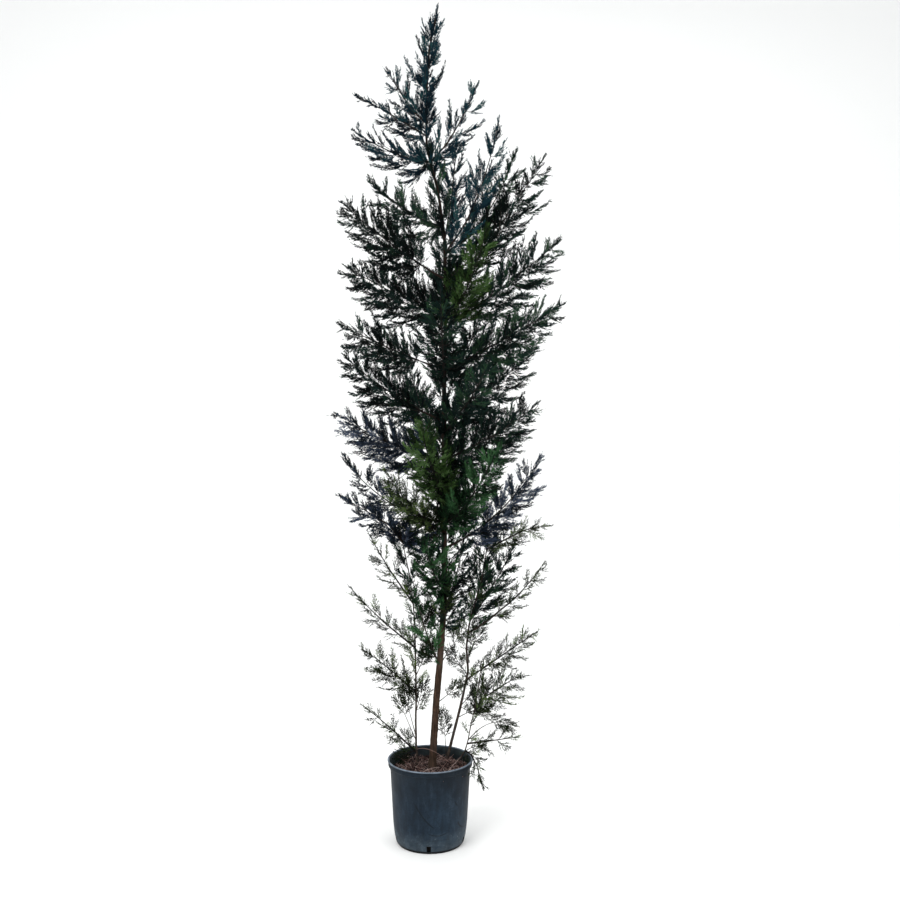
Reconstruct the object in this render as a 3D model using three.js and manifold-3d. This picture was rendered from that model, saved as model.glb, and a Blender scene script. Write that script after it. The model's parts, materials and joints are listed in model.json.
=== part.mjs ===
// A young cypress in a nursery pot: one leaning trunk, three basal stems, and plume-shaped masses of foliage.
// Millimetres, +Z up. The origin is the centre of the pot's flat underside, +X is to the viewer's right and
// +Y points away from the viewer. A heading is an angle about +Z, 0 along +X and 90 along +Y.
import * as THREE from "three";
import { mergeVertices } from "three/addons/utils/BufferGeometryUtils.js";
import Module from "manifold-3d";

const wasm = await Module();
wasm.setup();

// ---- Driving dimensions -------------------------------------------------------------------------------

const GAP = 0.3; // clearance between neighbouring solids
const SEAT = 6; // how far a bough's end is let into its mass

const POT = {
  height: 280,
  rimRadius: 144.5,
  lipDepth: 21,
  lipOverhang: 9,
  lipWeb: 2.5, // how far the band under the rolled edge stands in from the rim
  roll: 7, // height of the rolled edge
  rollBevel: 1.5,
  wall: 2.6,
  draft: 0.056, // how much the radius falls for each millimetre down the wall
  footCurve: 80, // height below which the wall draws in to the foot
  footBelly: 0.5, // how early it draws in: 1 would be a straight cone
  footRadius: 113,
  footRing: 5, // height of the stepped-in ring that the pot stands on
  footStep: 3, // how far that ring is stepped in
  floor: 4, // thickness of the bottom
  floorRadius: 105, // inside, where the bottom turns up into the wall
  slots: 5,
  slotWidth: 13,
  slotHeight: 22,
  slotHeading: 268,
  sides: 28,
};
const WALL_SHARES = [0, 0.06, 0.22, 1]; // heights of the wall's profile points, as shares
const SOIL_TOP = 245;
const LIMB_ROOT = SOIL_TOP - 10; // where limb centrelines start, below their flat cut at the soil

// A limb's stations are [x, y, z] on its centreline.
const TRUNK = {
  stations: [
    [7, 0, LIMB_ROOT], [15, 0, 400], [34, 0, 620], [47, 0, 820], [47, 0, 1150], [47, 0, 1500],
    [53, 0, 1820], [47, 0, 2060], [22, 0, 2210], [-14, 0, 2350], [-7, 0, 2560], [6, 0, 2730], [30, 0, 2803],
  ],
  flareRadius: 18, // at the foot
  flareHeight: 70,
  buttRadius: 13.2,
  tipRadius: 1.6,
  taper: 0.9, // power of the fall in radius from butt to tip
  sides: 8,
  flareSteps: 3,
  steps: 16,
};
const STEMS = {
  stem_left: {
    stations: [[-42, 30, LIMB_ROOT], [-50, 30, 350], [-48, 28, 480], [-51, 24, 620], [-54, 19, 760],
      [-72, 8, 910], [-106, -5, 1065]],
    buttRadius: 4.4,
    tipRadius: 1.5,
  },
  stem_right: {
    stations: [[53, 78, LIMB_ROOT], [74, 75, 320], [104, 70, 440], [131, 65, 580], [122, 61, 665],
      [146, 55, 770], [180, 48, 900], [200, 40, 1050]],
    buttRadius: 6.2,
    tipRadius: 1.8,
  },
  stem_far_right: {
    stations: [[76, 20, LIMB_ROOT], [118, 18, 298], [138, 12, 390], [156, 8, 470], [168, 3, 560],
      [176, 0, 600]],
    buttRadius: 3.0,
    tipRadius: 1.2,
  },
};
const LIMB_SIDES = 6;
const STEM_STEPS = 10;
const BOUGH_STEPS = 3;
const BOUGH_BUTT = 0.013; // butt radius for each millimetre of a plume's length
const BOUGH_TAPER = 0.55; // share of it left where the bough enters its mass

// Each plume is [name, host, from, heading, reach, top, sweep, across, deep, bare]. It leaves its host at the
// height `from`, runs out by `reach` along its heading, and ends at the height `top`. With a sweep above 0 it
// starts flat and ends steep, and below 0 it arches over. Its half width is across, and half its thickness
// deep. The share of its length that is a leafless bough is bare, left out where it is leafy from the host.
const PLUMES = [
  ["crest_left", "trunk", 2400, 165, 134, 2606, 0.1, 50, 52],
  ["crest_left_low", "trunk", 2366, 195, 232, 2482, -0.1, 44, 42],
  ["shoulder_left", "trunk", 2268, 172, 272, 2402, 0.15, 68, 74],
  ["crest_right", "trunk", 2270, 350, 158, 2538, 0.15, 56, 64],
  ["shoulder_mid", "trunk", 2030, 70, 120, 2395, 0.3, 58, 52],
  ["shoulder_right", "trunk", 1975, 330, 200, 2395, 0.35, 64, 64],
  ["wing_inner", "trunk", 1962, 30, 286, 2368, 0.3, 70, 66],
  ["wing_right", "trunk", 1885, 0, 332, 2306, 0.15, 76, 88],
  ["left_1", "trunk", 2050, 164, 268, 2240, 0.1, 80, 72],
  ["left_2", "trunk", 1890, 196, 352, 2128, 0.1, 96, 92, 0.2],
  ["left_3", "trunk", 1774, 158, 386, 1966, 0.1, 96, 94],
  ["left_4", "trunk", 1590, 190, 356, 1742, 0.1, 92, 84, 0.22],
  ["left_5", "trunk", 1416, 162, 368, 1650, 0.15, 94, 92, 0.18],
  ["left_6", "trunk", 1276, 198, 366, 1442, 0.15, 90, 92],
  ["left_7", "trunk", 1072, 166, 362, 1306, 0.4, 84, 58],
  ["left_8", "trunk", 984, 190, 356, 1172, 0.05, 76, 54],
  ["right_1", "trunk", 1730, 12, 402, 2040, 0.05, 96, 106, 0.2],
  ["right_2", "trunk", 1588, 345, 402, 1798, 0.05, 94, 82, 0.2],
  ["right_3", "trunk", 1416, 28, 350, 1680, 0.15, 94, 94],
  ["right_4", "trunk", 1286, 342, 326, 1480, 0.15, 92, 106],
  ["right_5", "trunk", 990, 12, 334, 1292, 0.3, 78, 78, 0.14],
  ["right_6", "stem_right", 985, 342, 226, 1068, -0.35, 68, 52],
  ["right_7", "stem_right", 730, 34, 196, 990, 0.1, 76, 70],
  ["right_8", "trunk", 690, 30, 96, 1060, 0.1, 58, 62],
  ["front_1", "trunk", 1742, 300, 262, 2030, 0.3, 74, 66],
  ["front_2", "trunk", 1560, 268, 300, 1830, 0.25, 84, 66],
  ["front_3", "trunk", 1380, 298, 310, 1610, 0.2, 84, 66],
  ["front_4", "trunk", 1168, 256, 290, 1410, 0.25, 80, 66],
  ["front_5", "trunk", 1060, 308, 290, 1350, 0.2, 82, 66],
  ["front_6", "trunk", 830, 250, 200, 1060, 0.2, 72, 64],
  ["front_left", "trunk", 1036, 224, 262, 1262, 0.2, 76, 64],
  ["back_1", "trunk", 1770, 92, 296, 2070, 0.25, 86, 70],
  ["back_2", "trunk", 1540, 66, 330, 1830, 0.25, 90, 72],
  ["back_3", "trunk", 1330, 112, 340, 1610, 0.25, 90, 72],
  ["back_4", "trunk", 1060, 80, 320, 1350, 0.25, 88, 70],
  ["low_left_1", "stem_left", 806, 184, 150, 1040, 0.1, 58, 56],
  ["low_left_2", "stem_left", 650, 188, 222, 862, 0.1, 52, 44],
  ["low_left_3", "stem_left", 500, 174, 186, 640, -0.05, 64, 66],
  ["low_left_4", "stem_left", 292, 190, 188, 462, -0.05, 46, 38],
  ["low_mid", "trunk", 596, 206, 92, 856, 0.2, 56, 52],
  ["low_right_1", "stem_right", 690, 348, 270, 946, 0.2, 58, 44, 0.24],
  ["low_right_2", "stem_right", 530, 344, 250, 712, 0, 64, 56, 0.2],
  ["low_right_3", "stem_far_right", 430, 8, 190, 550, -0.4, 66, 80],
  ["low_right_4", "stem_far_right", 322, 356, 170, 350, 0, 54, 50],
].map(([name, host, from, heading, reach, top, sweep, across, deep, bare = 0]) => (
  { name, host, from, heading, reach, top, sweep, across, deep, bare }
));
const BEND_OUT = 0.5; // how far a full sweep moves a plume's middle outwards, as a share of its reach
const BEND_DOWN = 0.5; // how far it lowers the middle, as a share of the plume's rise
const BEND_SAG = 0.15; // and as a share of its reach
const LEADER = { name: "leader", from: 2362, bend: [-28, 0, 2590], tip: [26, 0, 2799], across: 62 };
// A sprig that leans over the rim and hangs outside the pot.
const RIM_SPRIG = {
  name: "rim_sprig",
  stations: [[112, 14, 290], [134, -19, 309], [150, -42, 284], [164, -53, 240], [180, -58, 196]],
  across: 38,
  deep: 32,
};
const PLUME = {
  sides: 7,
  rings: 6,
  lead: 0.85, // below 1 the plume is fullest nearer its host
  blunt: 0.62, // below 1 its ends are rounder than a spindle's
  lobes: { count: 3, depth: 0.14 },
  ridge: { count: 2, depth: 0.1, twist: 7 },
};

const COLOURS = {
  pot: [0x2b3740, 0.55],
  soil: [0x3a2a22, 0.95],
  bark: [0x5a3f31, 0.9],
  deep: [0x1f3526, 0.8],
  blue: [0x2c3f48, 0.8],
  bright: [0x3f5f26, 0.8],
  pale: [0x5c7458, 0.8],
};
const FINISHES = {
  bright: ["front_1", "front_4", "front_5", "low_mid", "front_6"],
  blue: ["left_6", "left_7", "left_8", "right_5"],
  pale: ["front_left", "right_6", "low_left_1", "low_left_2", "low_left_3", "low_left_4", "low_right_1",
    "low_right_2", "low_right_3", "low_right_4", "rim_sprig"],
};

// ---- Solids -------------------------------------------------------------------------------------------

/** A closed three.js geometry as a manifold solid. */
function solidFrom(geometry) {
  const bare = geometry.clone();
  bare.deleteAttribute("normal");
  bare.deleteAttribute("uv");
  const merged = mergeVertices(bare, 1e-4);
  return new wasm.Manifold(new wasm.Mesh({
    numProp: 3,
    vertProperties: new Float32Array(merged.attributes.position.array),
    triVerts: new Uint32Array(merged.index.array),
  }));
}

/** A manifold solid as a three.js geometry. */
function geometryFrom(solid) {
  const mesh = solid.getMesh();
  const points = new Float32Array(mesh.numVert * 3);
  for (let i = 0; i < mesh.numVert; i++) {
    const start = i * mesh.numProp;
    points.set(mesh.vertProperties.subarray(start, start + 3), i * 3);
  }
  const geometry = new THREE.BufferGeometry();
  geometry.setAttribute("position", new THREE.BufferAttribute(points, 3));
  geometry.setIndex(new THREE.BufferAttribute(new Uint32Array(mesh.triVerts), 1));
  geometry.computeVertexNormals();
  return geometry;
}

/** The largest of the pieces that a cut leaves. */
function largestPiece(solid) {
  return solid.decompose().sort((a, b) => b.volume() - a.volume())[0];
}

/** A curve with a reference direction, which sets how a section is turned round it. */
function routeAlong(curve, reference) {
  curve.reference = reference;
  return curve;
}

/**
 * Bends a shape made round the Y axis, with y running from 0 to 1, so that it follows a route. The shape's x
 * then points along the reference direction made square to the route.
 */
function bendAlong(geometry, route) {
  const position = geometry.getAttribute("position");
  const vertex = new THREE.Vector3();
  for (let i = 0; i < position.count; i++) {
    vertex.fromBufferAttribute(position, i);
    const t = THREE.MathUtils.clamp(vertex.y, 0, 1);
    const tangent = route.getTangentAt(t);
    const side = route.reference.clone().projectOnPlane(tangent).normalize();
    const other = new THREE.Vector3().crossVectors(side, tangent);
    const { x, z } = vertex;
    vertex.copy(route.getPointAt(t)).addScaledVector(side, x).addScaledVector(other, z);
    position.setXYZ(i, vertex.x, vertex.y, vertex.z);
  }
  return geometry;
}

/** Evenly spaced shares from one to another, both included. */
function evenShares(from, to, steps) {
  return Array.from({ length: steps + 1 }, (_, i) => from + ((to - from) * i) / steps);
}

/** A tapered limb along a route: a lathed rod with a ring at each share of the length, and flat ends. */
function limb(route, radiusAt, sides, shares) {
  const rings = shares.map((share) => new THREE.Vector2(radiusAt(share), share));
  const profile = [new THREE.Vector2(0, 0), ...rings, new THREE.Vector2(0, 1)];
  return bendAlong(new THREE.LatheGeometry(profile, sides), route);
}

/** How full a plume is along its length: a quick swelling behind and a long point in front. */
function fullness(t) {
  return Math.sin(Math.PI * t ** PLUME.lead) ** PLUME.blunt;
}

/** The bumps of a plume's surface at angle a and share of length t, as a factor of its radius. */
function unevenness(a, t, seed) {
  const { lobes, ridge } = PLUME;
  const lobe = Math.sin(lobes.count * a + seed) * Math.sin(2 * Math.PI * t + 2 * seed);
  const ridged = Math.sin(ridge.count * a + ridge.twist * t + 3 * seed);
  return 1 + lobes.depth * lobe + ridge.depth * ridged;
}

/** A mass of foliage along a route: a sphere drawn out to a plume, swollen by grow on every side. */
function plume(route, across, deep, seed, grow = 0) {
  const ball = new THREE.SphereGeometry(1, PLUME.sides, PLUME.rings);
  const position = ball.getAttribute("position");
  for (let i = 0; i < position.count; i++) {
    const [x, y, z] = [position.getX(i), position.getY(i), position.getZ(i)];
    const t = (1 + y) / 2;
    const angle = Math.atan2(z, x);
    const atPole = Math.hypot(x, z) < 1e-6;
    const radius = atPole ? 0 : fullness(t) * unevenness(angle, t, seed);
    const swelling = atPole ? 0 : grow;
    position.setX(i, Math.cos(angle) * (radius * deep + swelling));
    position.setY(i, t);
    position.setZ(i, Math.sin(angle) * (radius * across + swelling));
  }
  return bendAlong(ball, route);
}

/** The stretch of a route from share a to share b, as a route of its own. */
function stretch(route, a, b, points = 8) {
  const made = evenShares(a, b, points).map((share) => route.getPointAt(share));
  return routeAlong(new THREE.CatmullRomCurve3(made), route.reference);
}

/** A smooth, steep route through [x, y, z] stations. */
function routeThrough(stations) {
  const curve = new THREE.CatmullRomCurve3(stations.map((p) => new THREE.Vector3(...p)));
  return routeAlong(curve, new THREE.Vector3(1, 0, 0));
}

/** The point of a rising route at a height, by halving. */
function pointAtHeight(route, height) {
  let [low, high] = [0, 1];
  for (let i = 0; i < 30; i++) {
    const middle = (low + high) / 2;
    if (route.getPointAt(middle).z < height) low = middle;
    else high = middle;
  }
  return route.getPointAt(low);
}

/** The line that a plume follows, from its host's centreline to its tip. */
function plumeRoute({ host, from, heading, reach, top, sweep }) {
  const start = pointAtHeight(routes[host], from);
  const turn = THREE.MathUtils.degToRad(heading);
  const outward = new THREE.Vector3(Math.cos(turn), Math.sin(turn), 0);
  const tip = start.clone().addScaledVector(outward, reach).setZ(top);
  const bend = start.clone().lerp(tip, 0.5);
  bend.addScaledVector(outward, sweep * BEND_OUT * reach);
  bend.z -= sweep * (BEND_DOWN * (top - from) + BEND_SAG * reach);
  return routeAlong(new THREE.QuadraticBezierCurve3(start, bend, tip), new THREE.Vector3(0, 0, 1));
}

// ---- The pot and the root ball ------------------------------------------------------------------------

/** The outer radius of the pot's wall at a height: a straight draft that draws in towards the foot. */
function wallRadius(z) {
  const top = POT.rimRadius - POT.lipOverhang;
  const drafted = (height) => top - POT.draft * (POT.height - POT.lipDepth - height);
  if (z >= POT.footCurve) return drafted(z);
  const share = Math.max(0, (z - POT.footRing) / (POT.footCurve - POT.footRing));
  return POT.footRadius + (drafted(POT.footCurve) - POT.footRadius) * share ** POT.footBelly;
}

/** Points on the wall between two heights, moved inwards by an inset, as [radius, height] pairs. */
function wallPoints(bottom, top, inset) {
  const heights = WALL_SHARES.map((share) => bottom + (top - bottom) * share);
  return heights.map((z) => [wallRadius(z) - inset, z]);
}

/** A lathed solid about +Z from [radius, height] pairs. */
function turned(pairs) {
  const profile = pairs.map(([r, z]) => new THREE.Vector2(r, z));
  return solidFrom(new THREE.LatheGeometry(profile, POT.sides).rotateX(Math.PI / 2));
}

/** A thin-walled moulded pot with a rolled lip, a flat underside, a stepped-in foot and drain slots. */
function potSolid() {
  const { height, rimRadius, roll, rollBevel, footRadius, floor } = POT;
  const underLip = height - POT.lipDepth;
  const band = rimRadius - POT.lipWeb;
  const standing = footRadius - POT.footStep;
  const shell = turned([
    [0, 0], [standing, 0], ...wallPoints(POT.footRing, underLip, 0),
    [band, underLip + rollBevel], [band, height - roll], [rimRadius, height - roll + rollBevel],
    [rimRadius, height - rollBevel], [rimRadius - rollBevel, height], [rimRadius - 2 * POT.wall, height],
    ...wallPoints(2 * floor, height - POT.wall, POT.wall).reverse(),
    [POT.floorRadius, floor], [0, floor],
  ]);
  return drainSlots().reduce((pot, slot) => pot.subtract(slot), shell);
}

/** The cutters for the slots in the pot's foot, which start just above its ring. */
function drainSlots() {
  const through = 30;
  const bottom = POT.footRing + 1;
  return Array.from({ length: POT.slots }, (_, i) => {
    const turn = THREE.MathUtils.degToRad(POT.slotHeading + (360 / POT.slots) * i);
    const cutter = new THREE.BoxGeometry(through, POT.slotWidth, POT.slotHeight)
      .translate(POT.footRadius, 0, bottom + POT.slotHeight / 2)
      .rotateZ(turn);
    return solidFrom(cutter);
  });
}

/** The root ball: potting compost that fills the pot to below its rim, clear of the wall. */
function rootBallSolid() {
  const clear = POT.wall + 2 * GAP;
  const bottom = POT.floor + GAP;
  return turned([
    [0, bottom], [POT.floorRadius - 4, bottom], ...wallPoints(3 * POT.floor, SOIL_TOP, clear), [0, SOIL_TOP],
  ]);
}

/** The room that the pot's rim and the compost take, with the gap round them: nothing else may enter it. */
function pottedRoom() {
  const throat = wallRadius(SOIL_TOP) - POT.wall - GAP;
  const outside = POT.rimRadius + GAP;
  return turned([
    [0, 0], [outside, 0], [outside, POT.height + GAP], [throat, POT.height + GAP], [throat, SOIL_TOP + GAP],
    [0, SOIL_TOP + GAP],
  ]);
}

// ---- Assembly -----------------------------------------------------------------------------------------

const group = new THREE.Group();
const routes = {};
const taken = [pottedRoom()]; // what is built so far, each swollen by the gap, to cut the next solids with

const materials = Object.fromEntries(Object.entries(COLOURS).map(([name, [color, roughness]]) => [
  name, new THREE.MeshStandardMaterial({ color, roughness, metalness: 0 }),
]));

/** The finish of a mass of foliage. */
function finishOf(name) {
  return Object.keys(FINISHES).find((finish) => FINISHES[finish].includes(name)) ?? "deep";
}

/** Adds a named mesh. */
function place(name, solid, finish) {
  const mesh = new THREE.Mesh(geometryFrom(solid), materials[finish]);
  mesh.name = name;
  group.add(mesh);
}

/** Cuts a solid clear of what is built so far, keeps its largest piece and adds it. */
function fit(name, solid, swollen, finish) {
  const cut = taken.reduce((left, other) => left.subtract(other), solid);
  place(name, largestPiece(cut), finish);
  taken.push(swollen);
}

/** Adds a limb along a route, with a radius given by a function of the share of its length. */
function addLimb(name, route, radiusAt, sides, shares) {
  const solid = solidFrom(limb(route, radiusAt, sides, shares));
  const swollen = solidFrom(limb(route, (share) => radiusAt(share) + GAP, sides, shares));
  fit(name, solid, swollen, "bark");
}

/** Adds a mass of foliage along a route. */
function addMass(name, route, across, deep, seed) {
  const solid = solidFrom(plume(route, across, deep, seed));
  const swollen = solidFrom(plume(route, across, deep, seed, GAP));
  fit(name, solid, swollen, finishOf(name));
}

/** Adds the trunk: a slow taper to the tip, and a flare that fades out above the soil. */
function addTrunk() {
  const { flareRadius, flareHeight, buttRadius, tipRadius, taper, sides } = TRUNK;
  routes.trunk = routeThrough(TRUNK.stations);
  const flareShare = flareHeight / routes.trunk.getLength();
  const radiusAt = (share) => {
    const flare = (flareRadius - buttRadius) * Math.max(0, 1 - share / flareShare) ** 2;
    return tipRadius + (buttRadius - tipRadius) * (1 - share) ** taper + flare;
  };
  const foot = evenShares(0, flareShare, TRUNK.flareSteps);
  const shaft = evenShares(flareShare, 1, TRUNK.steps).slice(1);
  addLimb("trunk", routes.trunk, radiusAt, sides, [...foot, ...shaft]);
}

/** Adds a stem that rises from the compost beside the trunk. */
function addStem(name, { stations, buttRadius, tipRadius }) {
  routes[name] = routeThrough(stations);
  const radiusAt = (share) => tipRadius + (buttRadius - tipRadius) * (1 - share);
  addLimb(name, routes[name], radiusAt, LIMB_SIDES, evenShares(0, 1, STEM_STEPS));
}

/** Adds the leafless bough that carries a plume. */
function addBough(plumeSizes) {
  const route = plumeRoute(plumeSizes);
  const length = route.getLength();
  const radiusAt = (share) => BOUGH_BUTT * length * (1 - (1 - BOUGH_TAPER) * share);
  const bough = stretch(route, 0, plumeSizes.bare + SEAT / length);
  addLimb(`bough_${plumeSizes.name}`, bough, radiusAt, LIMB_SIDES, evenShares(0, 1, BOUGH_STEPS));
}

/** Adds the crown's top, which wraps the trunk's tip. */
function addLeader({ name, from, bend, tip, across }, seed) {
  const start = pointAtHeight(routes.trunk, from);
  const curve = new THREE.QuadraticBezierCurve3(start, new THREE.Vector3(...bend), new THREE.Vector3(...tip));
  addMass(name, routeAlong(curve, new THREE.Vector3(1, 0, 0)), across, across, seed);
}

place("pot", potSolid(), "pot");
place("root_ball", rootBallSolid(), "soil");
addTrunk();
for (const [name, stem] of Object.entries(STEMS)) addStem(name, stem);
for (const sizes of PLUMES.filter((p) => p.bare > 0)) addBough(sizes);
PLUMES.forEach((p, i) => addMass(p.name, stretch(plumeRoute(p), p.bare, 1), p.across, p.deep, i + 2));
addLeader(LEADER, 1);
addMass(RIM_SPRIG.name, routeThrough(RIM_SPRIG.stations), RIM_SPRIG.across, RIM_SPRIG.deep, 0);

export default group;
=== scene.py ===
"""A young cypress in a nursery pot: bark, branching, scale-leaf sprays, pot, compost and a plain studio.

The limbs and the masses of foliage come from the frame. Each limb gets a barked skin along its own
centreline. Each mass is replaced by a leading shoot that runs from its limb through the mass to its tip,
side branches that reach for the mass's skin, twigs on those, and folded leaf blades on the twigs. Every
step is the same rule with other numbers: children stand at even spacing, turn away from their parent by
an angle, and bend towards the light.
"""
import json
import logging
import math
from collections.abc import Callable
from dataclasses import dataclass, field, replace
from enum import Enum
from functools import partial

import bpy
import numpy as np
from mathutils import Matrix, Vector

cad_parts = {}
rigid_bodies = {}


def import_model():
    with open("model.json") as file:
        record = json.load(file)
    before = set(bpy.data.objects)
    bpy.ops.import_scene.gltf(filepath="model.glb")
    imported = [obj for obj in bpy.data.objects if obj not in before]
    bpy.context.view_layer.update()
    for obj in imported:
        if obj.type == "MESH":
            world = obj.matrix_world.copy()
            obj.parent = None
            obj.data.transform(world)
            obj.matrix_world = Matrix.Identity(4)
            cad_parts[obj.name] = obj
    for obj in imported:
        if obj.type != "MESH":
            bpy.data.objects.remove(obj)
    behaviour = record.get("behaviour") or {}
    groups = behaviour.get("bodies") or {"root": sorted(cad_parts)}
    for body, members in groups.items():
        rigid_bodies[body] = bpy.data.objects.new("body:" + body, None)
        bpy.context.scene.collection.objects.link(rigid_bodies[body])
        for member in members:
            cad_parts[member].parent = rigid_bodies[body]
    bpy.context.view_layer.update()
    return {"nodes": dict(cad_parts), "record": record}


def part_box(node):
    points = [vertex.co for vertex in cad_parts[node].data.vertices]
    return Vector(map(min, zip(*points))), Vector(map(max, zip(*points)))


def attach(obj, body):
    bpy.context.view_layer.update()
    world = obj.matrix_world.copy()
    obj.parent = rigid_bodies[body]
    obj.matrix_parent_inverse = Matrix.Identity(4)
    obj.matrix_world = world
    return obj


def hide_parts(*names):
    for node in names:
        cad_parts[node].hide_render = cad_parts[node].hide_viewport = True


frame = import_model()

BODY = "root"
UP = np.array([0.0, 0.0, 1.0])
MM = 0.001
GOLDEN_ANGLE = math.pi * (3.0 - math.sqrt(5.0))
FIRST_TURN = 1.7  # how much further round each next parent's first child stands, in radians
BLADE_WIDEST = 0.45  # where a blade is widest, as a share of its length
BLADE_KEEL = 0.22  # how far its side corners are let down, as a share of its width
MOST_TRIANGLES = 190_000

log = logging.getLogger("cypress")


# ---- Vectors and meshes -------------------------------------------------------------------------------


def unit(vectors: np.ndarray) -> np.ndarray:
    """Vectors scaled to length one along the last axis."""
    return vectors / np.maximum(np.linalg.norm(vectors, axis=-1, keepdims=True), 1e-12)


def linear(colour: str) -> tuple[float, float, float, float]:
    """A six-digit screen colour as linear red, green, blue and alpha.

    Args:
        colour: Two hexadecimal digits each for red, green and blue.

    Returns:
        The same colour in linear light, with alpha 1.
    """
    shares = [int(colour[i : i + 2], 16) / 255.0 for i in (0, 2, 4)]
    light = [s / 12.92 if s <= 0.04045 else ((s + 0.055) / 1.055) ** 2.4 for s in shares]
    return (*light, 1.0)


@dataclass
class Surface:
    """Vertices and faces of one mesh, with a material number for each face."""

    points: np.ndarray
    faces: list[np.ndarray]
    tints: list[np.ndarray]

    @staticmethod
    def joined(parts: list["Surface"]) -> "Surface":
        """Several surfaces as one, in the order given.

        Args:
            parts: The surfaces.

        Returns:
            The joined surface.
        """
        offsets = np.cumsum([0] + [len(p.points) for p in parts])
        faces = [f + shift for p, shift in zip(parts, offsets) for f in p.faces]
        tints = [t for p in parts for t in p.tints]
        return Surface(np.concatenate([p.points for p in parts]), faces, tints)

    def triangles(self) -> int:
        """How many triangles the faces come to."""
        return int(sum(len(f) * (f.shape[1] - 2) for f in self.faces))

    def mesh(self, name: str, smooth: bool) -> bpy.types.Mesh:
        """The surface as a Blender mesh, without the points that no face uses.

        Args:
            name: The mesh's name.
            smooth: Whether its faces are shaded smooth.

        Returns:
            The new mesh.
        """
        mesh = bpy.data.meshes.new(name)
        used, corners = np.unique(np.concatenate([f.ravel() for f in self.faces]), return_inverse=True)
        corners = corners.astype(np.int32)
        sizes = np.concatenate([np.full(len(f), f.shape[1], np.int32) for f in self.faces])
        starts = np.concatenate([[0], np.cumsum(sizes)[:-1]]).astype(np.int32)
        mesh.vertices.add(len(used))
        mesh.vertices.foreach_set("co", self.points[used].astype(np.float32).ravel())
        mesh.loops.add(len(corners))
        mesh.loops.foreach_set("vertex_index", corners)
        mesh.polygons.add(len(sizes))
        mesh.polygons.foreach_set("loop_start", starts)
        mesh.polygons.foreach_set("material_index", np.concatenate(self.tints).astype(np.int32))
        mesh.polygons.foreach_set("use_smooth", np.full(len(sizes), smooth))
        mesh.update(calc_edges=True)
        return mesh


def add_piece(
    name: str,
    surface: Surface,
    finishes: list[bpy.types.Material],
    smooth: bool = True,
    stands_for: tuple[str, ...] = (),
) -> bpy.types.Object:
    """Puts a surface into the scene as one piece of the tree.

    Args:
        name: The piece's name.
        surface: Its vertices and faces.
        finishes: Its materials, in the order of the face's material numbers.
        smooth: Whether its faces are shaded smooth.
        stands_for: The frame's nodes that it replaces.

    Returns:
        The new object.
    """
    piece = bpy.data.objects.new(name, surface.mesh(name, smooth))
    bpy.context.scene.collection.objects.link(piece)
    for finish in finishes:
        piece.data.materials.append(finish)
    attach(piece, BODY)
    if stands_for:
        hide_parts(*stands_for)
    log.info("%s: %d triangles", name, surface.triangles())
    return piece


def grid_faces(rows: int, columns: int, wrap: bool) -> np.ndarray:
    """Quads of a grid of vertices that is numbered row by row.

    Args:
        rows: Number of rows.
        columns: Number of vertices in a row.
        wrap: Whether the last column joins the first.

    Returns:
        Four vertex numbers for each quad.
    """
    across = np.arange(columns if wrap else columns - 1)
    beside = (across + 1) % columns
    row = np.arange(rows - 1)[:, None] * columns
    quads = np.stack([row + across, row + beside, row + columns + beside, row + columns + across], axis=-1)
    return quads.reshape(-1, 4)


def poled(quads: np.ndarray, pole: int, columns: int) -> np.ndarray:
    """Joins a ring that has shrunk to a pole into one vertex.

    Args:
        quads: Four vertex numbers for each face.
        pole: The first vertex number of the ring.
        columns: Number of vertices in the ring.

    Returns:
        The faces that touched the ring, each as a triangle.
    """
    on_ring = (quads >= pole) & (quads < pole + columns)
    touching = quads[on_ring.any(1)]
    ring = (touching >= pole) & (touching < pole + columns)
    first = ring.argmax(1)
    first = np.where(ring[:, 0] & ring[:, 3], 3, first)
    order = (first[:, None] + np.array([1, 2, 3])) % 4
    triangles = np.take_along_axis(touching, order, axis=1)
    return np.where((triangles >= pole) & (triangles < pole + columns), pole, triangles)


def turned(radii: np.ndarray, heights: np.ndarray) -> np.ndarray:
    """Points of a turned body: radius and height given on a grid of profile steps by angles.

    Args:
        radii: Radius at each profile step and angle.
        heights: Height at each profile step and angle.

    Returns:
        The grid's points, row by row.
    """
    angle = np.linspace(0.0, 2.0 * math.pi, radii.shape[1], endpoint=False)
    return np.stack([radii * np.cos(angle), radii * np.sin(angle), heights], axis=-1).reshape(-1, 3)


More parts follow.
